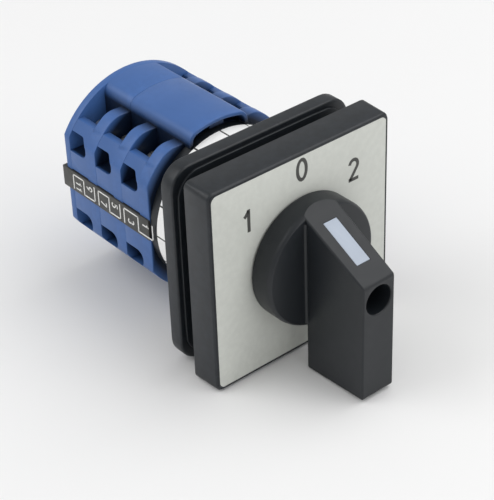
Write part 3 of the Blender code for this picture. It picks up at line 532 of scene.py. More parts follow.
class Nodes(Wiring):
    """Nodes of one new material, placed by the object's own coordinates."""

    def __init__(self, name):
        self.material = bpy.data.materials.new(name)
        self.material.use_nodes = True
        super().__init__(self.material.node_tree)
        self.shader = self.tree.nodes["Principled BSDF"]
        self.place = self.add("ShaderNodeTexCoord", "Object")

    def put(self, name, value):
        """Gives one of the shader's sockets a link or a plain value."""
        self.feed(self.shader.inputs[name], value)

    def noise(self, scale, detail=3.0, roughness=0.5, stretch=None):
        """Noise at a number of features for each metre."""
        place = self.place
        if stretch:
            place = self.add("ShaderNodeMapping", "Vector", {"Scale": stretch, "Vector": place})
        return self.add("ShaderNodeTexNoise", "Fac", {"Vector": place, "Scale": scale,
                                                      "Detail": detail, "Roughness": roughness})

    def remap(self, value, low, high, to_low, to_high):
        """Value carried from one range to another and kept inside it."""
        ranges = {"From Min": low, "From Max": high, "To Min": to_low, "To Max": to_high}
        return self.add("ShaderNodeMapRange", "Result", {"Value": value, **ranges})

    def spread(self, noise, low=0.0, high=1.0):
        """The usual range of a noise carried to another range."""
        return self.remap(noise, 0.3, 0.7, low, high)

    def mix(self, share, first, second):
        """Blend of two colours."""
        return self.add("ShaderNodeMix", "Result", {"Factor": share, "A": first, "B": second},
                        data_type="RGBA")

    def cloudy(self, noise, colour, first, second):
        """Colour that a noise shifts between two factors."""
        return self.mix(self.spread(noise), shade(colour, first), shade(colour, second))

    def bump(self, height, strength, distance):
        """Bump feeding the shader's normal."""
        sockets = {"Strength": strength, "Distance": distance, "Height": height}
        self.put("Normal", self.add("ShaderNodeBump", "Normal", sockets))

    def edge_mask(self):
        """The piece's own edge mask."""
        return self.add("ShaderNodeAttribute", "Fac", attribute_name="edge")


GRAIN, FINE = 0.02 * MM, 0.01 * MM  # depths of the bump in moulded and in other surfaces
DRAWN = (1.0, 0.08, 1.0)  # stretch of the scratches in drawn metal
CELLS, RULE, ROW = 16.0, 0.055, 0.012  # cells round the label, and its lines' widths in its UV map
PAINTED_SHADE = (0.3 * MM, 2.2 * MM, 0.05)  # depths between which painted shade darkens the decks' recesses, and the least share
SHADE_HASTE, SHADE_MARGIN = 2.0, 0.1 * MM  # speed added to the painted shade in wire holes, and their margin
SHADE_DARKEST = 0.04  # share of the colour that the painted shade leaves deep inside


def shade(colour, factor):
    """Colour times a factor, with alpha."""
    return tuple(min(1.0, c * factor) for c in colour) + (1.0,)


def hollow_share(nodes, near, far, least):
    """Painted shade in the decks' recesses: the share of the colour that is left under the body's
    outline, full at the lesser of the distances to its circle and to its flats, and falling to the
    least share far below them. It falls faster from the flats at the height of the wire holes, which
    are narrow."""
    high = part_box("rear_cover")[1]
    wires = sizes().wire_high
    split = nodes.add("ShaderNodeSeparateXYZ", None, {"Vector": nodes.place})
    x, z = split.outputs["X"], split.outputs["Z"]
    squares = nodes.math("ADD", nodes.math("MULTIPLY", x, x), nodes.math("MULTIPLY", z, z))
    narrow = nodes.math("LESS_THAN", nodes.math("ABSOLUTE", z), wires + SHADE_MARGIN)
    haste = nodes.math("ADD", 1.0, nodes.math("MULTIPLY", narrow, SHADE_HASTE))
    side = nodes.math("MULTIPLY", nodes.math("SUBTRACT", high.x, nodes.math("ABSOLUTE", x)), haste)
    depth = nodes.math("MINIMUM", nodes.math("SUBTRACT", high.z, nodes.math("SQRT", squares)), side)
    return nodes.remap(depth, near, far, 1.0, least)


def moulded(name, colour, roughness, grain=4500.0, depth=0.25, wear=1.5, cloud=0.06, hollow=None):
    """Moulded plastic: spark-eroded grain, cloudy gloss, faint flow marks, paler rubbed edges,
    and painted shade that darkens recesses where asked."""
    nodes = Nodes(name)
    flow = nodes.noise(90.0, detail=4.0, roughness=0.6)
    base = nodes.cloudy(flow, colour, 1 - cloud, 1 + cloud)
    patches = nodes.remap(nodes.noise(700.0), 0.4, 0.65, 0.15, 0.8)
    rub = nodes.math("MULTIPLY", nodes.edge_mask(), patches)
    worn = nodes.mix(rub, base, shade(colour, wear))
    # painted shade: the colour darkens with depth below the body's outline, in pockets, ribs and wire
    # holes
    if hollow:
        worn = nodes.mix(hollow_share(nodes, *hollow), shade(colour, SHADE_DARKEST), worn)
    nodes.put("Base Color", worn)
    gloss = nodes.noise(420.0, detail=5.0, roughness=0.65)
    nodes.put("Roughness", nodes.spread(gloss, roughness - 0.03, roughness + 0.04))
    nodes.put("Specular IOR Level", 0.42)
    nodes.bump(nodes.noise(grain, detail=2.0, roughness=0.6), depth, GRAIN)
    return nodes.material


def plated(name, colour, roughness, tarnish=0.75):
    """Metal: fine drawn scratches, blotches of tarnish and uneven gloss."""
    nodes = Nodes(name)
    blotch = nodes.noise(500.0, detail=4.0, roughness=0.6)
    base = nodes.mix(nodes.remap(blotch, 0.35, 0.75, 0.0, 1.0), shade(colour, 1.0),
                     shade(colour, tarnish))
    nodes.put("Base Color", base)
    nodes.put("Metallic", 1.0)
    scratch = nodes.noise(3000.0, detail=3.0, roughness=0.6, stretch=DRAWN)
    nodes.put("Roughness", nodes.spread(scratch, roughness - 0.08, roughness + 0.12))
    nodes.bump(scratch, 0.15, FINE)
    return nodes.material


def printed(name, colour, roughness=0.6):
    """Screen print: slightly uneven ink with a fine broken surface."""
    nodes = Nodes(name)
    cover = nodes.noise(2500.0, detail=3.0, roughness=0.6)
    nodes.put("Base Color", nodes.cloudy(cover, colour, 0.85, 1.12))
    nodes.put("Roughness", nodes.spread(cover, roughness - 0.05, roughness + 0.1))
    nodes.bump(cover, 0.2, FINE)
    return nodes.material


def paper(name, colour, ink):
    """Label paper with fibre, and thin ruled lines that part empty cells on its own UV map."""
    nodes = Nodes(name)
    uv = nodes.add("ShaderNodeUVMap", "UV", uv_map="label")
    split = nodes.add("ShaderNodeSeparateXYZ", None, {"Vector": uv})
    cells = nodes.math("FRACT", nodes.math("MULTIPLY", split.outputs["X"], CELLS))
    rule = nodes.math("LESS_THAN", cells, RULE)
    row = nodes.math("COMPARE", split.outputs["Y"], 0.5)
    row.node.inputs[2].default_value = ROW
    lines = nodes.math("MAXIMUM", rule, row)
    fibre = nodes.noise(1800.0, detail=4.0, roughness=0.7)
    sheet = nodes.cloudy(fibre, colour, 0.95, 1.0)
    nodes.put("Base Color", nodes.mix(lines, sheet, shade(ink, 1.0)))
    nodes.put("Roughness", nodes.spread(fibre, 0.5, 0.65))
    nodes.bump(fibre, 0.15, FINE)
    return nodes.material


FINISHES = {}


def finishes():
    """All finishes, made once from the chosen colours."""
    if not FINISHES:
        c = bpy.context.scene.switch_colours
        FINISHES.update({
            "black_plastic": moulded("black_plastic", c.black, 0.40, wear=1.7),
            "blue_plastic": moulded("blue_plastic", c.blue, 0.40, wear=1.15, cloud=0.04),
            # the decks' blue, with painted shade darkening their pockets, ribs and wire holes
            "blue_decks_painted_shade": moulded("blue_decks_painted_shade", c.blue, 0.40, wear=1.15, cloud=0.04,
                                  hollow=PAINTED_SHADE),
            "legend_grey": moulded("legend_grey", c.legend, 0.45, grain=6000.0,
                                   depth=0.12, wear=1.1, cloud=0.02),
            "pointer_white": moulded("pointer_white", c.pointer, 0.35, grain=6000.0,
                                     depth=0.10, wear=1.1, cloud=0.03),
            "strip_dark": moulded("strip_dark", c.strip, 0.50, grain=5000.0, depth=0.2, wear=1.6),
            "natural_plastic": moulded("natural_plastic", c.natural, 0.48, wear=1.1, cloud=0.04),
            "plated_steel": plated("plated_steel", c.steel, 0.30),
            "brass": plated("brass", c.brass, 0.32),
            "silvered_copper": plated("silvered_copper", c.copper, 0.30, 0.8),
            "legend_ink": printed("legend_ink", c.ink),
            "white_print": printed("white_print", c.white, 0.5),
            "label_paper": paper("label_paper", c.paper, c.ink),
        })
    return FINISHES


# Print


def oval(middle, half, start=0, end=360, steps=20):
    """Points on an oval between two angles in degrees."""
    return np.array(middle) + arc_points((0, 0), 1.0, start, end, steps) * np.array(half)


def digit_strokes(digit):
    """Centre lines of one digit in its box; True marks a closed line."""
    if digit == "9":
        return [(DIGIT_BOX - line, closed) for line, closed in digit_strokes("6")]
    lines = {
        "0": [oval((0.22, 0.435), (0.22, 0.435))],
        "1": [[(0.24, -0.06), (0.24, 0.93)], [(0.03, 0.62), (0.10, 0.68), (0.24, 0.86)]],
        "2": [np.vstack((oval((0.21, 0.64), (0.21, 0.23), 170, -35, 16), [(0.02, 0.0)])),
              [(-0.05, 0.0), (0.46, 0.0)]],
        "3": [oval((0.18, 0.65), (0.20, 0.22), 150, -90, 14),
              oval((0.18, 0.215), (0.24, 0.215), 90, -150, 14)],
        "4": [[(0.33, 0.90), (0.0, 0.25)], [(-0.05, 0.24), (0.48, 0.24)],
              [(0.34, -0.06), (0.34, 0.93)]],
        "5": [[(0.05, 0.87), (0.42, 0.87)], [(0.08, 0.93), (0.05, 0.42)],
              oval((0.19, 0.27), (0.25, 0.27), 140, -150, 16)],
        "6": [oval((0.22, 0.25), (0.22, 0.25)), oval((0.40, 0.25), (0.40, 0.62), 98, 180, 12)],
        "7": [[(-0.02, 0.87), (0.46, 0.87)], [(0.43, 0.87), (0.14, -0.06)]],
        "8": [oval((0.22, 0.66), (0.18, 0.21)), oval((0.22, 0.22), (0.22, 0.22))],
    }[digit]
    closed = {"0": (0,), "6": (0,), "8": (0, 1)}.get(digit, ())
    return [(np.asarray(line, float), index in closed) for index, line in enumerate(lines)]


def stroke_shell(line, weight, closed):
    """Flat bar along a line: each point goes half the weight to both sides, along the mean of
    the normals before and after it."""
    line = line[:-1] if closed else line
    along = np.roll(line, -1, axis=0) - line
    along[-1] = along[-1] if closed else along[-2]
    along = along / np.linalg.norm(along, axis=1, keepdims=True)
    normal = np.column_stack((-along[:, 1], along[:, 0]))
    previous = np.roll(normal, 1, axis=0)
    previous[0] = previous[0] if closed else normal[0]
    share = np.maximum(1 + np.sum(normal * previous, axis=1, keepdims=True), 0.4)
    shift = weight / 2 * (normal + previous) / share
    if not closed:
        return prism(np.vstack((line + shift, (line - shift)[::-1])), -1.0, 1.0, "Z")
    rings = [np.column_stack((line + side * shift, np.full(len(line), level)))
             for side, level in ((1, -1.0), (1, 1.0), (-1, 1.0), (-1, -1.0))]
    return loft(rings)


def lettering(text, height, weight, place):
    """Shell of plain upright digits, centred on their own middle, then set by a matrix."""
    shells = [moved(stroke_shell(line, weight, closed), (index * DIGIT_PITCH, 0, 0))
              for index, digit in enumerate(text) for line, closed in digit_strokes(digit)]
    points, faces, mask = joined(*shells)
    middle = ((len(text) - 1) * DIGIT_PITCH + DIGIT_BOX[0]) / 2
    raised = sizes().print_height
    points = (points - (middle, DIGIT_BOX[1] / 2, 0)) * (height, height, raised)
    turn = np.array(place)
    return points @ turn[:3, :3].T + turn[:3, 3], faces, mask


# Front pieces


class SWITCH_OT_bezel(bpy.types.Operator):
    """Square front bezel with its recess, thin lip and open back"""

    bl_idname = "switch.bezel"
    bl_label = "Front bezel"

    def execute(self, context):
        s = context.scene.switch_sizes
        low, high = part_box("front_bezel")
        legend_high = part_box("legend_plate")[1]
        half, corner = high.x, s.bezel_corner
        front, back = low.y, high.y
        floor = legend_high.y + s.legend_gap
        rear = floor + s.face_thick
        well = legend_high.x + s.legend_gap
        well_corner = s.legend_corner + s.legend_gap
        inner, end = half - s.bezel_wall, rear + s.bezel_wall
        made = Rings(square_angles(half, corner))
        made.add(s.hub_hole, floor)
        made.add(well, floor, corner=well_corner)
        made.rim("mouth", well, front, s.bezel_lip, 4, 0.6, well_corner)
        made.rim("front", half - s.bezel_draft, front, s.bezel_edge, 6, 1.0, corner)
        made.rim("rear", half, back, s.bezel_lip, 3, 0.8, corner)
        made.add(inner, back, corner=corner)
        made.add(inner, rear, corner=corner)
        for size, y in ((s.hub_ring, rear), (s.hub_ring, end), (s.hub_hole, end)):
            made.add(size, y)
        piece("front_bezel_moulding", made.shell(), "black_plastic", "front_bezel")
        return {"FINISHED"}


class SWITCH_OT_legend(bpy.types.Operator):
    """Pale legend plate with the numbers 1, 0 and 2"""

    bl_idname = "switch.legend"
    bl_label = "Legend plate"

    def execute(self, context):
        s = context.scene.switch_sizes
        low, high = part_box("legend_plate")
        made = Rings(square_angles(high.x, s.legend_corner))
        made.add(s.hub_hole, low.y)
        made.rim("front", high.x, low.y, s.legend_edge, 4, 1.0, s.legend_corner)
        made.add(high.x, high.y, corner=s.legend_corner)
        made.add(s.hub_hole, high.y)
        piece("legend_plate_moulding", made.shell(), "legend_grey", "legend_plate")
        upright = Matrix.Rotation(math.pi / 2, 4, "X")
        for text, degrees in (("1", -45.0), ("0", 0.0), ("2", 45.0)):
            turn = math.radians(degrees)
            place = Matrix.Translation((s.digit_radius * math.sin(turn), low.y,
                                        s.digit_radius * math.cos(turn))) @ upright
            piece("legend_number_" + text, lettering(text, s.digit_height, LEGEND_WEIGHT, place),
                  "legend_ink", slot="black_plastic")
        return {"FINISHED"}


class SWITCH_OT_rear_frame(bpy.types.Operator):
    """Mounting frame behind the panel with its raised square"""

    bl_idname = "switch.rear_frame"
    bl_label = "Rear frame"

    def execute(self, context):
        s = context.scene.switch_sizes
        low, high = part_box("rear_frame")
        half, corner = high.x, s.frame_corner
        seat = low.y + s.boss_rise
        border = seat + s.frame_lip_rise
        made = Rings(square_angles(half, corner))
        made.add(s.shaft_hole, low.y)
        for size, start, end in ((s.boss_half, low.y, seat), (s.frame_lip_half, seat, border)):
            made.rim("front", size, start, s.bezel_lip, 4, 1.0, s.boss_corner)
            made.add(size, end, corner=s.boss_corner)
        made.rim("front", half, border, s.frame_edge, 5, 1.0, corner)
        made.rim("rear", half, high.y, s.frame_edge, 5, 1.0, corner)
        made.add(s.shaft_hole, high.y)
        piece("rear_frame_moulding", made.shell(), "black_plastic", "rear_frame")
        return {"FINISHED"}


# Handle


class SWITCH_OT_handle(bpy.types.Operator):
    """Handle disc with its lever, screw bore and pale pointer"""

    bl_idname = "switch.handle"
    bl_label = "Handle"
    BACK_GAP = 0.3 * MM  # more gap behind the disc
    ROOT, PAST = 4.2 * MM, 3.0 * MM  # how deep the lever's foot and its slope run into the disc
    CUTS = np.array([0.5, 1.2, 0.8, 0.8, 0.6, 0.7, 0.7]) * MM  # corner cuts, from the nose on
    FLARE = 0.35 * MM  # rounding of the bore's mouth
    SEAT_GAP, SEAT_DEPTH, OPEN = 0.06 * MM, 1.1 * MM, 2.0 * MM  # room for the pointer
    BAR_FACES = (-1.0 * MM, -0.02 * MM)  # the pointer's lower and upper face, from the slope
    BAR_CORNER, BAR_EDGE = 0.15 * MM, 0.08 * MM
    DROP = 0.01 * MM  # keeps the disc's cut under the lever's slope
    TRIM, OVER = 0.05 * MM, 0.02 * MM  # how far the lever's foot stays inside the disc
    FILLET_SUNK, FILLET_IN = 0.3 * MM, 0.5 * MM  # how far the fillets reach into disc and lever
    FILLET_SHORT = (0.6 * MM, 1.1 * MM)  # how far they end short of the shoulder, below and above
    FLAT_SIDE = 4.0 * MM  # faces larger than a square of this side are shaded flat
    HANDLE_CREASE = 20  # degrees above which the handle's edges stay sharp

    def execute(self, context):
        s = context.scene.switch_sizes
        low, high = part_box("handle")
        bezel_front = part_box("front_bezel")[0].y
        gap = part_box("legend_plate")[0].y - bezel_front
        back = bezel_front - gap - self.BACK_GAP
        front = back - s.disc_depth
        disc = [(TIP, front)] + rim("front", high.x, front, s.disc_edge, 9, s.disc_run)
        disc += [(high.x, back - s.bezel_lip), (high.x - s.bezel_lip, back), (s.disc_hub, back),
                 (s.disc_hub, high.y), (TIP, high.y)]
        reach = front - low.y
        root, past = front + self.ROOT, self.PAST
        slope = (s.lever_shoulder - s.lever_nose) / reach
        outline = softened([(low.y, s.lever_nose), (front + past, s.lever_shoulder + past * slope),
                            (root, s.lever_root), (root, -s.lever_root), (front, -s.lever_root),
                            (front, low.z), (low.y, low.z + s.lever_drop)],
                           self.CUTS, 6)
        lever = prism(outline, -s.lever_width / 2, s.lever_width / 2, "X", s.lever_edge, 7)
        along = np.clip((front - lever[0][:, 1]) / reach, 0, 1)
        lever[0][:, 0] *= 1 - along * (1 - s.lever_nose_width / s.lever_width)
        floor = low.y + s.bore_depth
        bore = [(TIP, floor), (s.bore_radius, floor)]
        bore += rim("mouth", s.bore_radius, low.y, self.FLARE, 5)
        bore += [(s.bore_radius + self.FLARE, low.y - MM), (TIP, low.y - MM)]
        pointer_low, pointer_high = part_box("handle_pointer")
        lean = math.atan2(s.lever_shoulder - s.lever_nose, reach)
        half = pointer_high.x
        slant = np.array([[1, 0, 0], [0, math.cos(lean), -math.sin(lean)],
                          [0, math.sin(lean), math.cos(lean)]])
        size, middle = self.pointer_place(pointer_low, pointer_high, lean)
        seat_half, seat_end = half + self.SEAT_GAP, size / 2 + self.SEAT_GAP
        seat = prism(rectangle((-seat_half, seat_half), (-seat_end, seat_end)), -self.SEAT_DEPTH,
                     self.OPEN, "Z")
        seat = (seat[0] @ slant.T + middle, seat[1], seat[2])
        trim = self.edge_ring(front, root, high.x)
        lever = mesh_shell(carved("handle_moulding", lever, [turned(bore, steps=48), seat, trim]))
        shoulder, above = s.lever_shoulder - self.DROP, high.x + self.OPEN
        slab = prism([(front - MM, shoulder - MM * slope), (front + past, shoulder + past * slope),
                      (front + past, above), (front - MM, above)], -high.x, high.x, "X")
        cut_disc = mesh_shell(carved("handle_moulding", turned(disc, steps=128), [slab]))
        whole = mesh_shell(carved("handle_moulding", cut_disc, [lever], "UNION"))
        fillets = [moved(self.fillet(front), flip=(side, 1, 1)) for side in (1, -1)]
        mesh = shell_mesh("handle_moulding", joined(whole, *fillets), self.HANDLE_CREASE)
        self.flatten(mesh)
        piece("handle_moulding", mesh, "black_plastic", "handle", body="rotor")
        plan = softened(rectangle((-half, half), (-size / 2, size / 2)), self.BAR_CORNER)
        bar = prism(plan, *self.BAR_FACES, "Z", self.BAR_EDGE, 3)
        bar = (bar[0] @ slant.T + middle, bar[1], bar[2])
        piece("handle_pointer_insert", bar, "pointer_white", "handle_pointer", body="rotor")
        return {"FINISHED"}

    def edge_ring(self, front, root, radius):
        """Ring that trims the lever's upper end inside the disc: a rectangle turned about Y."""
        inner, outer, start, end = radius - self.TRIM, 1.5 * radius, front + self.OVER, root + MM
        made = Rings(full_turn())
        for size, y in ((inner, start), (inner, end), (outer, end), (outer, start)):
            made.add(size, y)
        return made.shell()

    def fillet(self, front):
        """Hollow fillet along the lever's right side: a corner with a quarter circle cut away."""
        s = sizes()
        size, side = s.lever_fillet, s.lever_width / 2
        hollow = arc_points((side + size, front - size), size, 180, 90, 8)
        sunk, inner = front + self.FILLET_SUNK, side - self.FILLET_IN
        below, above = self.FILLET_SHORT
        outline = np.vstack((hollow, [(side + size, sunk), (inner, sunk), (inner, front - size)]))
        return prism(outline, -s.lever_shoulder + below, s.lever_shoulder - above, "Z")

    def flatten(self, mesh):
        """Gives the lever's large flat faces their own plain normals."""
        area = np.empty(len(mesh.polygons))
        mesh.polygons.foreach_get("area", area)
        mesh.polygons.foreach_set("use_smooth", area < self.FLAT_SIDE ** 2)

    @staticmethod
    def pointer_place(low, high, lean):
        """Length of the slanted insert and the middle of its outer face. Its box is as deep as the
        length times cosine plus the thickness times sine, and as high as the other way round; the
        outer face lies half the thickness out from the box's middle."""
        depth, height = high.y - low.y, high.z - low.z
        sine, cosine, double = math.sin(lean), math.cos(lean), math.cos(2 * lean)
        thick = (height * cosine - depth * sine) / double
        centre = (np.array(low) + np.array(high)) / 2
        outwards = np.array([0, -sine, cosine])
        return (depth * cosine - height * sine) / double, centre + outwards * thick / 2


# Body


class SWITCH_OT_drum(bpy.types.Operator):
    """Detent drum with its blank paper label"""

    bl_idname = "switch.drum"
    bl_label = "Detent drum"

    def execute(self, context):
        s = context.scene.switch_sizes
        low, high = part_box("detent_housing")
        radius = high.x
        angles = full_turn()
        wall = low.y + s.drum_wall
        made = Rings(angles)
        made.add(s.shaft_hole, low.y)
        made.rim("front", radius, low.y, s.drum_edge, 4)
        for size, y in ((radius, high.y), (s.drum_bore, high.y), (s.drum_bore, wall),
                        (s.shaft_hole, wall)):
            made.add(size, y)
        piece("detent_drum", made.shell(), "black_plastic", "detent_housing")
        front, back = low.y + s.label_margin, high.y - s.label_back
        outer, inner = radius + s.label_thick, radius + s.print_height / 2
        sheet = Rings(angles)
        for size, y in ((outer, front), (outer, back), (inner, back), (inner, front)):
            sheet.add(size, y)
        label = piece("drum_label", sheet.shell(), "label_paper", slot="legend_grey")
        self.unroll(label.data, front, back)
        return {"FINISHED"}

    @staticmethod
    def unroll(mesh, front, back):
        """UV map of the label: U is the turn round the axis, V the place along it."""
        layer = mesh.uv_layers.new(name="label")
        corners = np.empty(len(mesh.loops), int)
        mesh.loops.foreach_get("vertex_index", corners)
        points = np.empty(len(mesh.vertices) * 3)
        mesh.vertices.foreach_get("co", points)
        points = points.reshape(-1, 3)[corners]
        turn = np.arctan2(points[:, 2], points[:, 0]) / (2 * np.pi)
        sides = np.empty(len(mesh.polygons), int)
        mesh.polygons.foreach_get("loop_total", sides)
        first = np.repeat(turn[np.cumsum(sides) - sides], sides)
        turn = turn + np.round(first - turn)
        along = (points[:, 1] - front) / (back - front)
        layer.data.foreach_set("uv", np.column_stack((turn, along)).ravel())


def hood_curve(radius, half, shoulder):
    """Hood seen from the front, from right to left: a shoulder, the body's circle, a shoulder."""
    centre_u = half - shoulder
    centre_v = math.sqrt((radius - shoulder) ** 2 - centre_u ** 2)
    tangent = math.degrees(math.atan2(centre_v, centre_u))
    right = arc_points((centre_u, centre_v), shoulder, 0, tangent, 12)
    top = arc_points((0, 0), radius, tangent, 180 - tangent, 24)[1:-1]
    return np.vstack((right, top, right[::-1] * (-1, 1)))


class SWITCH_OT_decks(bpy.types.Operator):
    """Three blue contact decks with hoods, ribs, pockets, ledges and wire holes"""

    bl_idname = "switch.decks"
    bl_label = "Contact decks"
    RIB_BEND = 2.0 * MM  # corner cut where a wall's arc meets its level top
    ARCH_EDGE, TAB_CORNER, TAB_EDGE = 0.25 * MM, 0.2 * MM, 0.12 * MM
    DRUM_GAP = 0.3 * MM  # between the drum and the arch over it
    OVERLAP, FOOT = 0.1 * MM, 0.4 * MM  # how far the tab and the recess's floor run into the deck
    GROOVE_GAP, GROOVE_DEPTH = 0.3 * MM, 0.6 * MM  # room for the marker strip
    GUIDE_HALF = 1.6 * MM  # half the width of a plunger's guide
    LEDGE_OUT, LEDGE_IN = 0.2 * MM, 0.3 * MM  # chamfers of the ledge beside a pocket
    WIRE_SOFT = 0.5 * MM  # softening of a wire hole's cut corner

    def execute(self, context):
        s = context.scene.switch_sizes
        panel = mesh_shell(self.side_panel(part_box(DECKS[0])[1]))
        for index, name in enumerate(DECKS):
            low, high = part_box(name)
            front = high.y - s.deck_depth
            first, second, third = index == 0, index == 1, index == 2
            back = high.y + s.deck_gap - s.deck_seam * second
            seam = (s.deck_seam * third, s.deck_seam * second)
            parts = [self.wall(front, high, first)]
            for up in (1, -1):
                parts.append(moved(self.block(front, back, high), flip=(up, 1, 1)))
                start = front + s.recess_depth if first else front
                parts.append(moved(self.hood(start, back, high, seam), flip=(1, 1, up)))
                if first:
                    parts.append(moved(self.overhang(low.y, front, high), flip=(1, 1, up)))
                for hand in (1, -1):
                    parts.append(moved(panel, (0, front, 0), (hand, 1, up)))
            # the decks take the blue with painted shade in their recesses
            piece(name + "_moulding", joined(*parts), "blue_decks_painted_shade", name, slot="blue_plastic")
        return {"FINISHED"}

    def wall(self, front, high, first):
        """Front wall with a hub hole: flats, circle arcs and level rib tops; its rims are round
        where they stand free beside the pockets, and at the whole front of the first deck."""
        s = sizes()
        radius, flat = high.z, high.x
        corner = math.degrees(math.acos(flat / radius))
        level = math.degrees(math.asin(s.rib_top / radius))
        rise = np.linspace(0, math.sqrt(radius ** 2 - flat ** 2), 8)[1:]
        side = np.column_stack((np.full(len(rise), flat), rise))
        across = np.column_stack((np.linspace(s.hood_half, 0, 6), np.full(6, s.rib_foot)))
        arc = arc_points((0, 0), radius, corner, level, 14)
        bend = softened([arc[-5], arc[-1], across[0]], (0.0, self.RIB_BEND, 0.0), 9)[1:-1]
        right = np.vstack((side, arc[1:-4], bend, across))
        upper = np.vstack(([(flat, 0)], right, right[-2::-1] * (-1, 1), [(-flat, 0)]))
        outline = np.vstack((upper, upper[-2:0:-1] * (1, -1)))
        free = (np.abs(outline[:, 1]) > s.ledge_top) & (np.abs(outline[:, 0]) > s.hood_half - MM)
        rim = np.where(free, s.deck_edge, 0.0)
        near = s.deck_edge if first else np.maximum(rim, s.deck_seam)
        return prism(outline, front, front + s.deck_wall, "Y", near, 5, rim, s.deck_hub)

    def hood(self, start, back, high, seam):
        """Hood over one contact channel: the hood's curve outside, the channel inside."""
        s = sizes()
        outline = np.vstack(([(s.channel_half, s.channel_top), (s.channel_half, s.floor_height),
                              (s.hood_half, s.floor_height)],
                             hood_curve(high.z, s.hood_half, s.hood_shoulder),
                             [(-s.hood_half, s.floor_height), (-s.channel_half, s.floor_height),
                              (-s.channel_half, s.channel_top)]))
        return prism(outline, start, back, "Y", seam[0], 3, seam[1])

    def overhang(self, edge, front, high):
        """Front of the first deck's hood: a thin arch over the drum, the floor of the recess
        under it, and the tab in that recess."""
        s = sizes()
        root = front + s.recess_depth
        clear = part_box("detent_housing")[1].x + self.DRUM_GAP
        inner_half = s.hood_half - s.hood_shell
        outside = hood_curve(high.z, s.hood_half, s.hood_shoulder)
        inside = hood_curve(high.z - s.hood_shell, inner_half, s.hood_shoulder - s.hood_shell)
        foot = math.sqrt(clear ** 2 - s.hood_half ** 2)
        inner_foot = math.sqrt(clear ** 2 - inner_half ** 2)
        outline = np.vstack((outside, [(-s.hood_half, foot), (-inner_half, inner_foot)], inside[::-1],
                             [(inner_half, inner_foot), (s.hood_half, foot)]))
        arch = prism(outline, edge, root, "Y", self.ARCH_EDGE, 5, 0.0)
        reach = math.degrees(math.acos(inner_half / s.recess_inner))
        base = s.rib_foot - self.FOOT
        floor = np.vstack((arc_points((0, 0), s.recess_inner, reach, 180 - reach, 20),
                           [(-inner_half, base), (inner_half, base)]))
        tab = softened(rectangle((-s.tab_half, s.tab_half), (s.tab_low, s.tab_high)), self.TAB_CORNER)
        end = root + self.OVERLAP
        return joined(arch, prism(floor, front, end),
                      prism(tab, edge + s.tab_setback, end, "Y", self.TAB_EDGE, 3, 0.0))

    def block(self, front, back, high):
        """Right half of the block beside the cam, with the groove for the marker strip."""
        s = sizes()
        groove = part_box("marker_strip_right")[1].z + self.GROOVE_GAP
        depth = high.x - self.GROOVE_DEPTH
        guide = self.GUIDE_HALF
        start = math.degrees(math.asin(guide / s.floor_height))
        room = arc_points((0, 0), s.floor_height, -90 + start, 90 - start, 24)
        steps = np.array([(guide, s.floor_height), (high.x, s.floor_height), (high.x, groove),
                          (depth, groove)])
        outline = np.vstack((room[1:-1], steps, steps[::-1] * (1, -1)))
        return prism(outline, front + s.deck_wall, back, "Y", 0.0, 3, s.deck_seam)

    def side_panel(self, high):
        """Wall outside the upper right pocket, measured from a deck's front: from the block up to
        the ledge, out to the flat and the circle, with the wire hole cut through it."""
        s = sizes()
        radius, flat = high.z, high.x
        corner = math.degrees(math.acos(flat / radius))
        level = math.degrees(math.asin((s.ledge_top - self.LEDGE_OUT) / radius))
        top_u = radius * math.cos(math.radians(level))
        base = s.floor_height
        outline = np.vstack(([(s.pocket_outer, base), (flat, base)],
                             arc_points((0, 0), radius, corner, level, 10),
                             [(top_u - self.LEDGE_OUT, s.ledge_top),
                              (s.pocket_outer + self.LEDGE_IN, s.ledge_top),
                              (s.pocket_outer, s.ledge_top - self.LEDGE_IN)]))
        back = s.deck_depth + s.deck_gap - s.deck_seam
        shell = prism(outline, s.deck_wall, back, "Y", 0.0, 3, s.deck_seam)
        near = s.wire_front
        bend = s.wire_round
        turn = arc_points((near + bend, base + bend), bend, 180, 270, 8)
        corners = np.vstack(([(near, s.wire_high - s.wire_cut), (near + s.wire_cut, s.wire_high),
                              (back + MM, s.wire_high), (back + MM, base - MM),
                              (near + bend, base - MM)], turn[::-1]))
        hole = softened(corners, np.where(np.arange(len(corners)) < 2, self.WIRE_SOFT, 0.0))
        return carved("side_panel", shell, [prism(hole, s.pocket_outer - MM, flat + MM, "X")])


class SWITCH_OT_rear_cover(bpy.types.Operator):
    """Blue end plate with a round groove in its back"""

    bl_idname = "switch.rear_cover"
    bl_label = "Rear cover"
    BEARING = 1.2 * MM  # depth of the shaft's bearing
    # Radius, depth and edge mask of the groove's rings, in millimetres
    GROOVE = ((8.0, 0.0, 0.6), (7.8, 0.35, 0.0), (6.4, 0.35, 0.0), (6.2, 0.0, 0.6))

    def execute(self, context):
        s = context.scene.switch_sizes
        low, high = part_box("rear_cover")
        angles = body_angles(high.z, high.x)
        outline = body_radius(angles, high.z, high.x)
        made = Rings(angles)
        made.add(s.shaft_hole, low.y + self.BEARING)
        made.add(s.shaft_hole, low.y)
        made.rim("front", outline, low.y, s.deck_seam, 3, 0.5)
        made.rim("rear", outline, high.y, s.frame_edge, 5)
        for size, depth, mask in self.GROOVE:
            made.add(size * MM, high.y - depth * MM, mask)
        piece("rear_cover_moulding", made.shell(closed=False), "blue_plastic", "rear_cover")
        return {"FINISHED"}


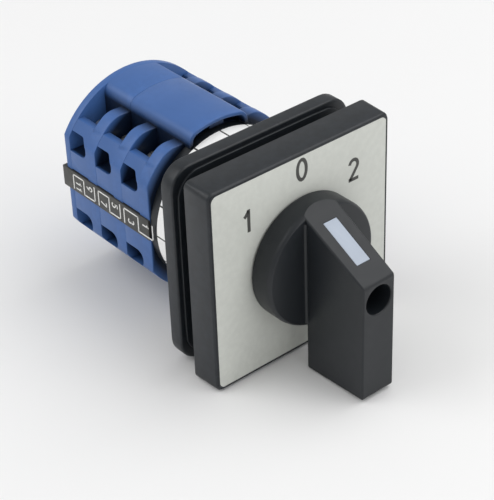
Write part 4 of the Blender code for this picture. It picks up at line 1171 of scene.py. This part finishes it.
class SWITCH_OT_strips(bpy.types.Operator):
    """Marker strips with stepped white lines and plain terminal numbers"""

    bl_idname = "switch.strips"
    bl_label = "Marker strips"
    THICK, HOOK_GAP, CORNER = 0.7 * MM, 0.3 * MM, 0.15 * MM  # of the strip and the hook at its end
    CELL_HALF, CELL_FRONT, CELL_BACK = 1.95 * MM, 0.55 * MM, 0.35 * MM  # half height, margins
    SHIFT = 0.35  # how far a number stands off the middle, as a share of the half height

    def execute(self, context):
        s = context.scene.switch_sizes
        cover_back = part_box("rear_cover")[1].y
        for side, sign in SIDES:
            low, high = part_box("marker_strip_" + side)
            outer = high.x if sign > 0 else low.x
            tip = low.x if sign > 0 else high.x
            inner = sign * (abs(outer) - self.THICK)
            hook = cover_back + self.HOOK_GAP
            outline = softened([(inner, low.y), (outer, low.y), (outer, high.y), (tip, high.y),
                                (tip, hook), (inner, hook)], self.CORNER)
            shell = prism(outline, low.z, high.z, "Z", s.strip_edge, 4)
            piece("marker_strip_%s_moulding" % side, shell, "strip_dark", "marker_strip_" + side)
            piece("marker_print_" + side, self.print_shell(outer, sign, side), "white_print",
                  slot="pointer_white")
        return {"FINISHED"}

    def print_shell(self, outer, sign, side):
        """Two cells for each deck: stepped lines, and a number turned to read along the strip."""
        s = sizes()
        limits = outer - s.print_height, outer + s.print_height
        reach, line = self.CELL_HALF, s.strip_line
        parts = []
        for index, name in enumerate(DECKS):
            low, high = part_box(name)
            front, back = low.y + self.CELL_FRONT, high.y - self.CELL_BACK
            middle = (front + back) / 2
            for y, z in (((back - line, back), (-reach, reach)),
                         ((middle - line / 2, middle + line / 2), (-reach, reach)),
                         ((front, front + line), (-reach, reach)),
                         ((middle, back), (reach - line, reach)),
                         ((front, middle), (-reach, -reach + line))):
                parts.append(prism(rectangle(y, z), *limits, "X"))
            first = 4 * index + (1 if side == "left" else 2)
            for text, y, z in ((first, (front + middle) / 2, self.SHIFT * reach),
                               (first + 2, (middle + back) / 2, -self.SHIFT * reach)):
                place = self.place(outer, sign, y, z)
                parts.append(lettering(str(text), s.strip_digit, STRIP_WEIGHT, place))
        return joined(*parts)

    @staticmethod
    def place(outer, sign, y, z):
        """Reads downwards, with the number's top to the front on the left side and to the rear on
        the right side."""
        across, up = Vector((0, 0, -1)), Vector((0, sign, 0))
        turn = Matrix((across, up, across.cross(up))).transposed().to_4x4()
        return Matrix.Translation((outer, y, z)) @ turn


# Metal pieces


def cross_head(radius, depth, slot):
    """Round screw head along +Z from 0 to its depth, with a crown and a cross-shaped slot."""
    top, wall = 0.72, 0.55  # shares of the radius and the depth where the crown ends and starts
    profile = [(TIP, 0.0), (radius, 0.0)]
    for sine, cosine in quarter_steps(5):
        profile.append((radius * (top + (1 - top) * cosine), depth * (wall + (1 - wall) * sine)))
    profile.append((TIP, depth))
    head = turned(profile, axis="Z", steps=40)
    reach, half, floor = radius * top, slot / 2, depth * (1 - wall)
    cuts = [prism(rectangle((-reach, reach), (-half, half)), floor, depth * 2, "Z"),
            prism(rectangle((-half, half), (-reach, reach)), floor, depth * 2, "Z")]
    return mesh_shell(carved("head", head, cuts))


class SWITCH_OT_terminals(bpy.types.Operator):
    """Terminals: contact bar, clamp plate and cross-slotted screw"""

    bl_idname = "switch.terminals"
    bl_label = "Terminals"
    HEAD, CROWN, SHANK = 2.1 * MM, 1.4 * MM, 1.4 * MM  # screw: radius and depth of its head, shank
    BAR_RISE, BAR_THICK, BAR_HALF = 1.4 * MM, 1.0 * MM, 2.0 * MM
    BAR_CORNER, BAR_EDGE = 0.3 * MM, 0.12 * MM
    PLATE_RISE, PLATE_THICK = 1.9 * MM, 0.8 * MM
    PLATE_CORNER, PLATE_EDGE = 0.5 * MM, 0.15 * MM
    POINT, TAPER = 1.2 * MM, 0.3 * MM  # radius and length of the shank's point
    WASHER = (-0.05 * MM, 0.02 * MM)  # faces of the washer, from the plate's top
    SETBACK = 2.5 * MM  # from the bar's outer end to the screw

    def execute(self, context):
        s = context.scene.switch_sizes
        head = cross_head(self.HEAD, self.CROWN, s.head_slot)
        for number in (1, 2, 3):
            for level, up in LEVELS:
                for side, hand in SIDES:
                    node = "terminal_%s_%s_%d" % (side, level, number)
                    low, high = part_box(node)
                    bar, screw = self.terminal(low, high, head, up, hand)
                    piece(node + "_clamp", bar, "brass", node)
                    piece(node + "_screw", screw, "plated_steel")
        return {"FINISHED"}

    def terminal(self, low, high, head, up, hand):
        """Built upwards on the right and mirrored to its place; heights run from the axis."""
        inner, outer = sorted((abs(low.x), abs(high.x)))
        bottom, top = sorted((abs(low.z), abs(high.z)))
        middle = (low.y + high.y) / 2
        bar_low = bottom + self.BAR_RISE
        bar_high = bar_low + self.BAR_THICK
        x = outer - self.SETBACK
        plate_low = bar_high + self.PLATE_RISE
        plate_high = plate_low + self.PLATE_THICK
        plan = rectangle((inner, outer), (middle - self.BAR_HALF, middle + self.BAR_HALF))
        bar = prism(softened(plan, self.BAR_CORNER), bar_low, bar_high, "Z", self.BAR_EDGE, 3)
        half = self.HEAD
        square = rectangle((x - half, x + half), (middle - half, middle + half))
        plate = prism(softened(square, self.PLATE_CORNER), plate_low, plate_high, "Z",
                      self.PLATE_EDGE, 3)
        shank = turned([(TIP, bottom), (self.POINT, bottom), (self.SHANK, bottom + self.TAPER),
                        (self.SHANK, plate_high), (TIP, plate_high)], (x, middle), "Z", 24)
        under, over = (plate_high + face for face in self.WASHER)
        washer = turned([(TIP, under), (half, under), (half, over), (TIP, over)], (x, middle), "Z",
                        32)
        crown = moved(head, (x, middle, top - self.CROWN))
        return [moved(joined(*shells), flip=(hand, 1, up))
                for shells in ((bar, plate), (shank, washer, crown))]


class SWITCH_OT_screws(bpy.types.Operator):
    """Tie bolts and the handle's screw, with cross-slotted heads"""

    bl_idname = "switch.screws"
    bl_label = "Bolts and screws"
    HEAD, CROWN = 2.7 * MM, 1.6 * MM  # radius and depth of a head
    BOLT, BOLT_TIP, TAPER = 1.4 * MM, 1.1 * MM, 0.4 * MM  # radii of a bolt, and its point's length
    SCREW, SCREW_TIP, NECK = 1.5 * MM, 1.2 * MM, 2.0 * MM  # the same of the handle's screw, its head
    OVERLAP, TALLER = 0.1 * MM, 1.375  # how far the heads overlap the shanks; the handle screw's head

    def execute(self, context):
        s = context.scene.switch_sizes
        head = cross_head(self.HEAD, self.CROWN, s.head_slot)
        backwards = (head[0][:, (0, 2, 1)], head[1], head[2])
        for side, _ in SIDES:
            low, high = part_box("tie_bolt_" + side)
            x = (low.x + high.x) / 2
            end = high.y - self.CROWN
            stop = end + self.OVERLAP
            shank = turned([(TIP, low.y), (self.BOLT_TIP, low.y), (self.BOLT, low.y + self.TAPER),
                            (self.BOLT, stop), (TIP, stop)], (x, 0), "Y", 24)
            shell = joined(shank, moved(backwards, (x, end, 0)))
            piece("tie_bolt_%s_metal" % side, shell, "plated_steel", "tie_bolt_" + side)
        low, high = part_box("handle_screw")
        neck = low.y + self.NECK
        shank = turned([(TIP, neck), (self.SCREW, neck), (self.SCREW, high.y - self.TAPER),
                        (self.SCREW_TIP, high.y), (TIP, high.y)], (0, 0), "Y", 24)
        crown = moved(backwards, (0, low.y + self.CROWN * self.TALLER, 0), (1, -self.TALLER, 1))
        piece("handle_screw_metal", joined(shank, crown), "plated_steel", "handle_screw",
              body="rotor")
        return {"FINISHED"}


class SWITCH_OT_inner(bpy.types.Operator):
    """Finishes of the solids that show as they are: shaft, cams, contacts, springs, screws"""

    bl_idname = "switch.inner"
    bl_label = "Inner pieces"

    def execute(self, context):
        slots = {row["node"]: row["material_slot"] for row in frame["record"]["subparts"]}
        for name, node in frame["nodes"].items():
            if not node.hide_render:
                node.data.materials.clear()
                node.data.materials.append(finishes()[slots[name]])
        return {"FINISHED"}


# Stage


class SWITCH_OT_stage(bpy.types.Operator):
    """Pale floor, soft lamps and a camera at the photograph's angle"""

    bl_idname = "switch.stage"
    bl_label = "Stage"
    LAMPS = (("key", (0.40, -0.15, 0.72), 0.7, 2.75), ("fill", (0.25, -0.80, 0.50), 0.7, 1.9),
             ("rim", (-0.55, 0.35, 0.60), 0.6, 2.3))  # name, place, side in metres and power in watts

    def execute(self, context):
        stage = context.scene.switch_stage
        self.floor(stage)
        self.sky(stage)
        for name, place, size, power in self.LAMPS:
            self.lamp(name, Vector(place), size, power)
        self.camera(stage)
        context.scene.view_settings.view_transform = "Standard"
        return {"FINISHED"}

    @staticmethod
    def floor(stage):
        """Large flat floor just under the lowest point."""
        half = 3.0
        level = CAD_LOW.z - 0.02 * MM
        mesh = bpy.data.meshes.new("floor")
        flat = rectangle((-half, half), (-half, half))
        points = np.column_stack((flat, np.full(4, level)))
        mesh.from_pydata(points.tolist(), [], [(0, 1, 2, 3)])
        made = bpy.data.objects.new("floor", mesh)
        bpy.context.scene.collection.objects.link(made)
        nodes = Nodes("studio_floor")
        cloud = nodes.noise(6.0, 2.0)
        nodes.put("Base Color", nodes.cloudy(cloud, stage.floor, 0.99, 1.0))
        nodes.put("Roughness", 0.9)
        nodes.put("Specular IOR Level", 0.1)
        mesh.materials.append(nodes.material)

    @staticmethod
    def sky(stage):
        """Even light from all round; the camera and rays through clear surfaces see the backdrop's
        colour.
        """
        world = bpy.context.scene.world or bpy.data.worlds.new("studio")
        bpy.context.scene.world = world
        world.use_nodes = True
        world.node_tree.nodes.clear()
        wires = Wiring(world.node_tree)
        path = wires.add("ShaderNodeLightPath", None)
        seen = wires.math("MAXIMUM", path.outputs["Is Camera Ray"],
                          path.outputs["Is Transmission Ray"])
        light = wires.add("ShaderNodeBackground", "Background", {"Color": (1.0, 1.0, 1.0, 1.0),
                                                                 "Strength": stage.sky})
        drop = wires.add("ShaderNodeBackground", "Background", {"Color": (*stage.floor, 1.0)})
        both = wires.add("ShaderNodeMixShader", "Shader", {"Fac": seen, 1: light, 2: drop})
        wires.add("ShaderNodeOutputWorld", None, {"Surface": both})

    @staticmethod
    def lamp(name, place, size, power):
        """Square lamp that faces the object."""
        data = bpy.data.lights.new(name, "AREA")
        data.size = size
        data.energy = power
        made = bpy.data.objects.new(name, data)
        made.location = place
        made.rotation_euler = (-place).to_track_quat("-Z", "Y").to_euler()
        bpy.context.scene.collection.objects.link(made)

    @staticmethod
    def camera(stage):
        """Camera looking at its target, turned by the roll."""
        turn, rise = math.radians(stage.azimuth), math.radians(stage.elevation)
        level = math.cos(rise)
        back = Vector((-math.sin(turn) * level, -math.cos(turn) * level, math.sin(rise)))
        right = Vector((0, 0, 1)).cross(back).normalized()
        up = back.cross(right)
        roll = math.radians(stage.roll)
        sine, cosine = math.sin(roll), math.cos(roll)
        right, up = right * cosine + up * sine, up * cosine - right * sine
        data = bpy.data.cameras.new("camera")
        data.lens = stage.focal
        data.sensor_width = 36.0
        data.clip_start = 0.01
        data.clip_end = 20.0
        made = bpy.data.objects.new("camera", data)
        target = Vector((stage.target_x, stage.target_y, stage.target_z))
        made.matrix_world = Matrix.Translation(target + back * stage.distance) @ \
            Matrix((right, up, back)).transposed().to_4x4()
        bpy.context.scene.collection.objects.link(made)
        bpy.context.scene.camera = made


STEPS = (SWITCH_OT_bezel, SWITCH_OT_legend, SWITCH_OT_rear_frame, SWITCH_OT_handle, SWITCH_OT_drum,
         SWITCH_OT_decks, SWITCH_OT_rear_cover, SWITCH_OT_strips, SWITCH_OT_terminals, SWITCH_OT_screws,
         SWITCH_OT_inner, SWITCH_OT_stage)


class SWITCH_PT_dressing(bpy.types.Panel):
    """Lists the steps that dress the switch"""

    bl_idname = "SWITCH_PT_dressing"
    bl_label = "Transfer switch"
    bl_space_type = "VIEW_3D"
    bl_region_type = "UI"
    bl_category = "Switch"

    def draw(self, context):
        for step in STEPS:
            self.layout.operator(step.bl_idname)


GROUPS = (("switch_sizes", SwitchSizes), ("switch_colours", SwitchColours),
          ("switch_stage", SwitchStage))


def register():
    """Registers the property groups, the steps and the panel."""
    for name, group in GROUPS:
        bpy.utils.register_class(group)
        setattr(bpy.types.Scene, name, bpy.props.PointerProperty(type=group))
    for step in STEPS + (SWITCH_PT_dressing,):
        bpy.utils.register_class(step)


def unregister():
    """Takes them away again."""
    for step in (SWITCH_PT_dressing,) + STEPS[::-1]:
        bpy.utils.unregister_class(step)
    for name, group in GROUPS[::-1]:
        delattr(bpy.types.Scene, name)
        bpy.utils.unregister_class(group)


def main():
    """Registers the add-on and runs every step in order."""
    register()
    bpy.ops.switch.bezel()
    bpy.ops.switch.legend()
    bpy.ops.switch.rear_frame()
    bpy.ops.switch.handle()
    bpy.ops.switch.drum()
    bpy.ops.switch.decks()
    bpy.ops.switch.rear_cover()
    bpy.ops.switch.strips()
    bpy.ops.switch.terminals()
    bpy.ops.switch.screws()
    bpy.ops.switch.inner()
    bpy.ops.switch.stage()


if __name__ == "__main__":
    main()
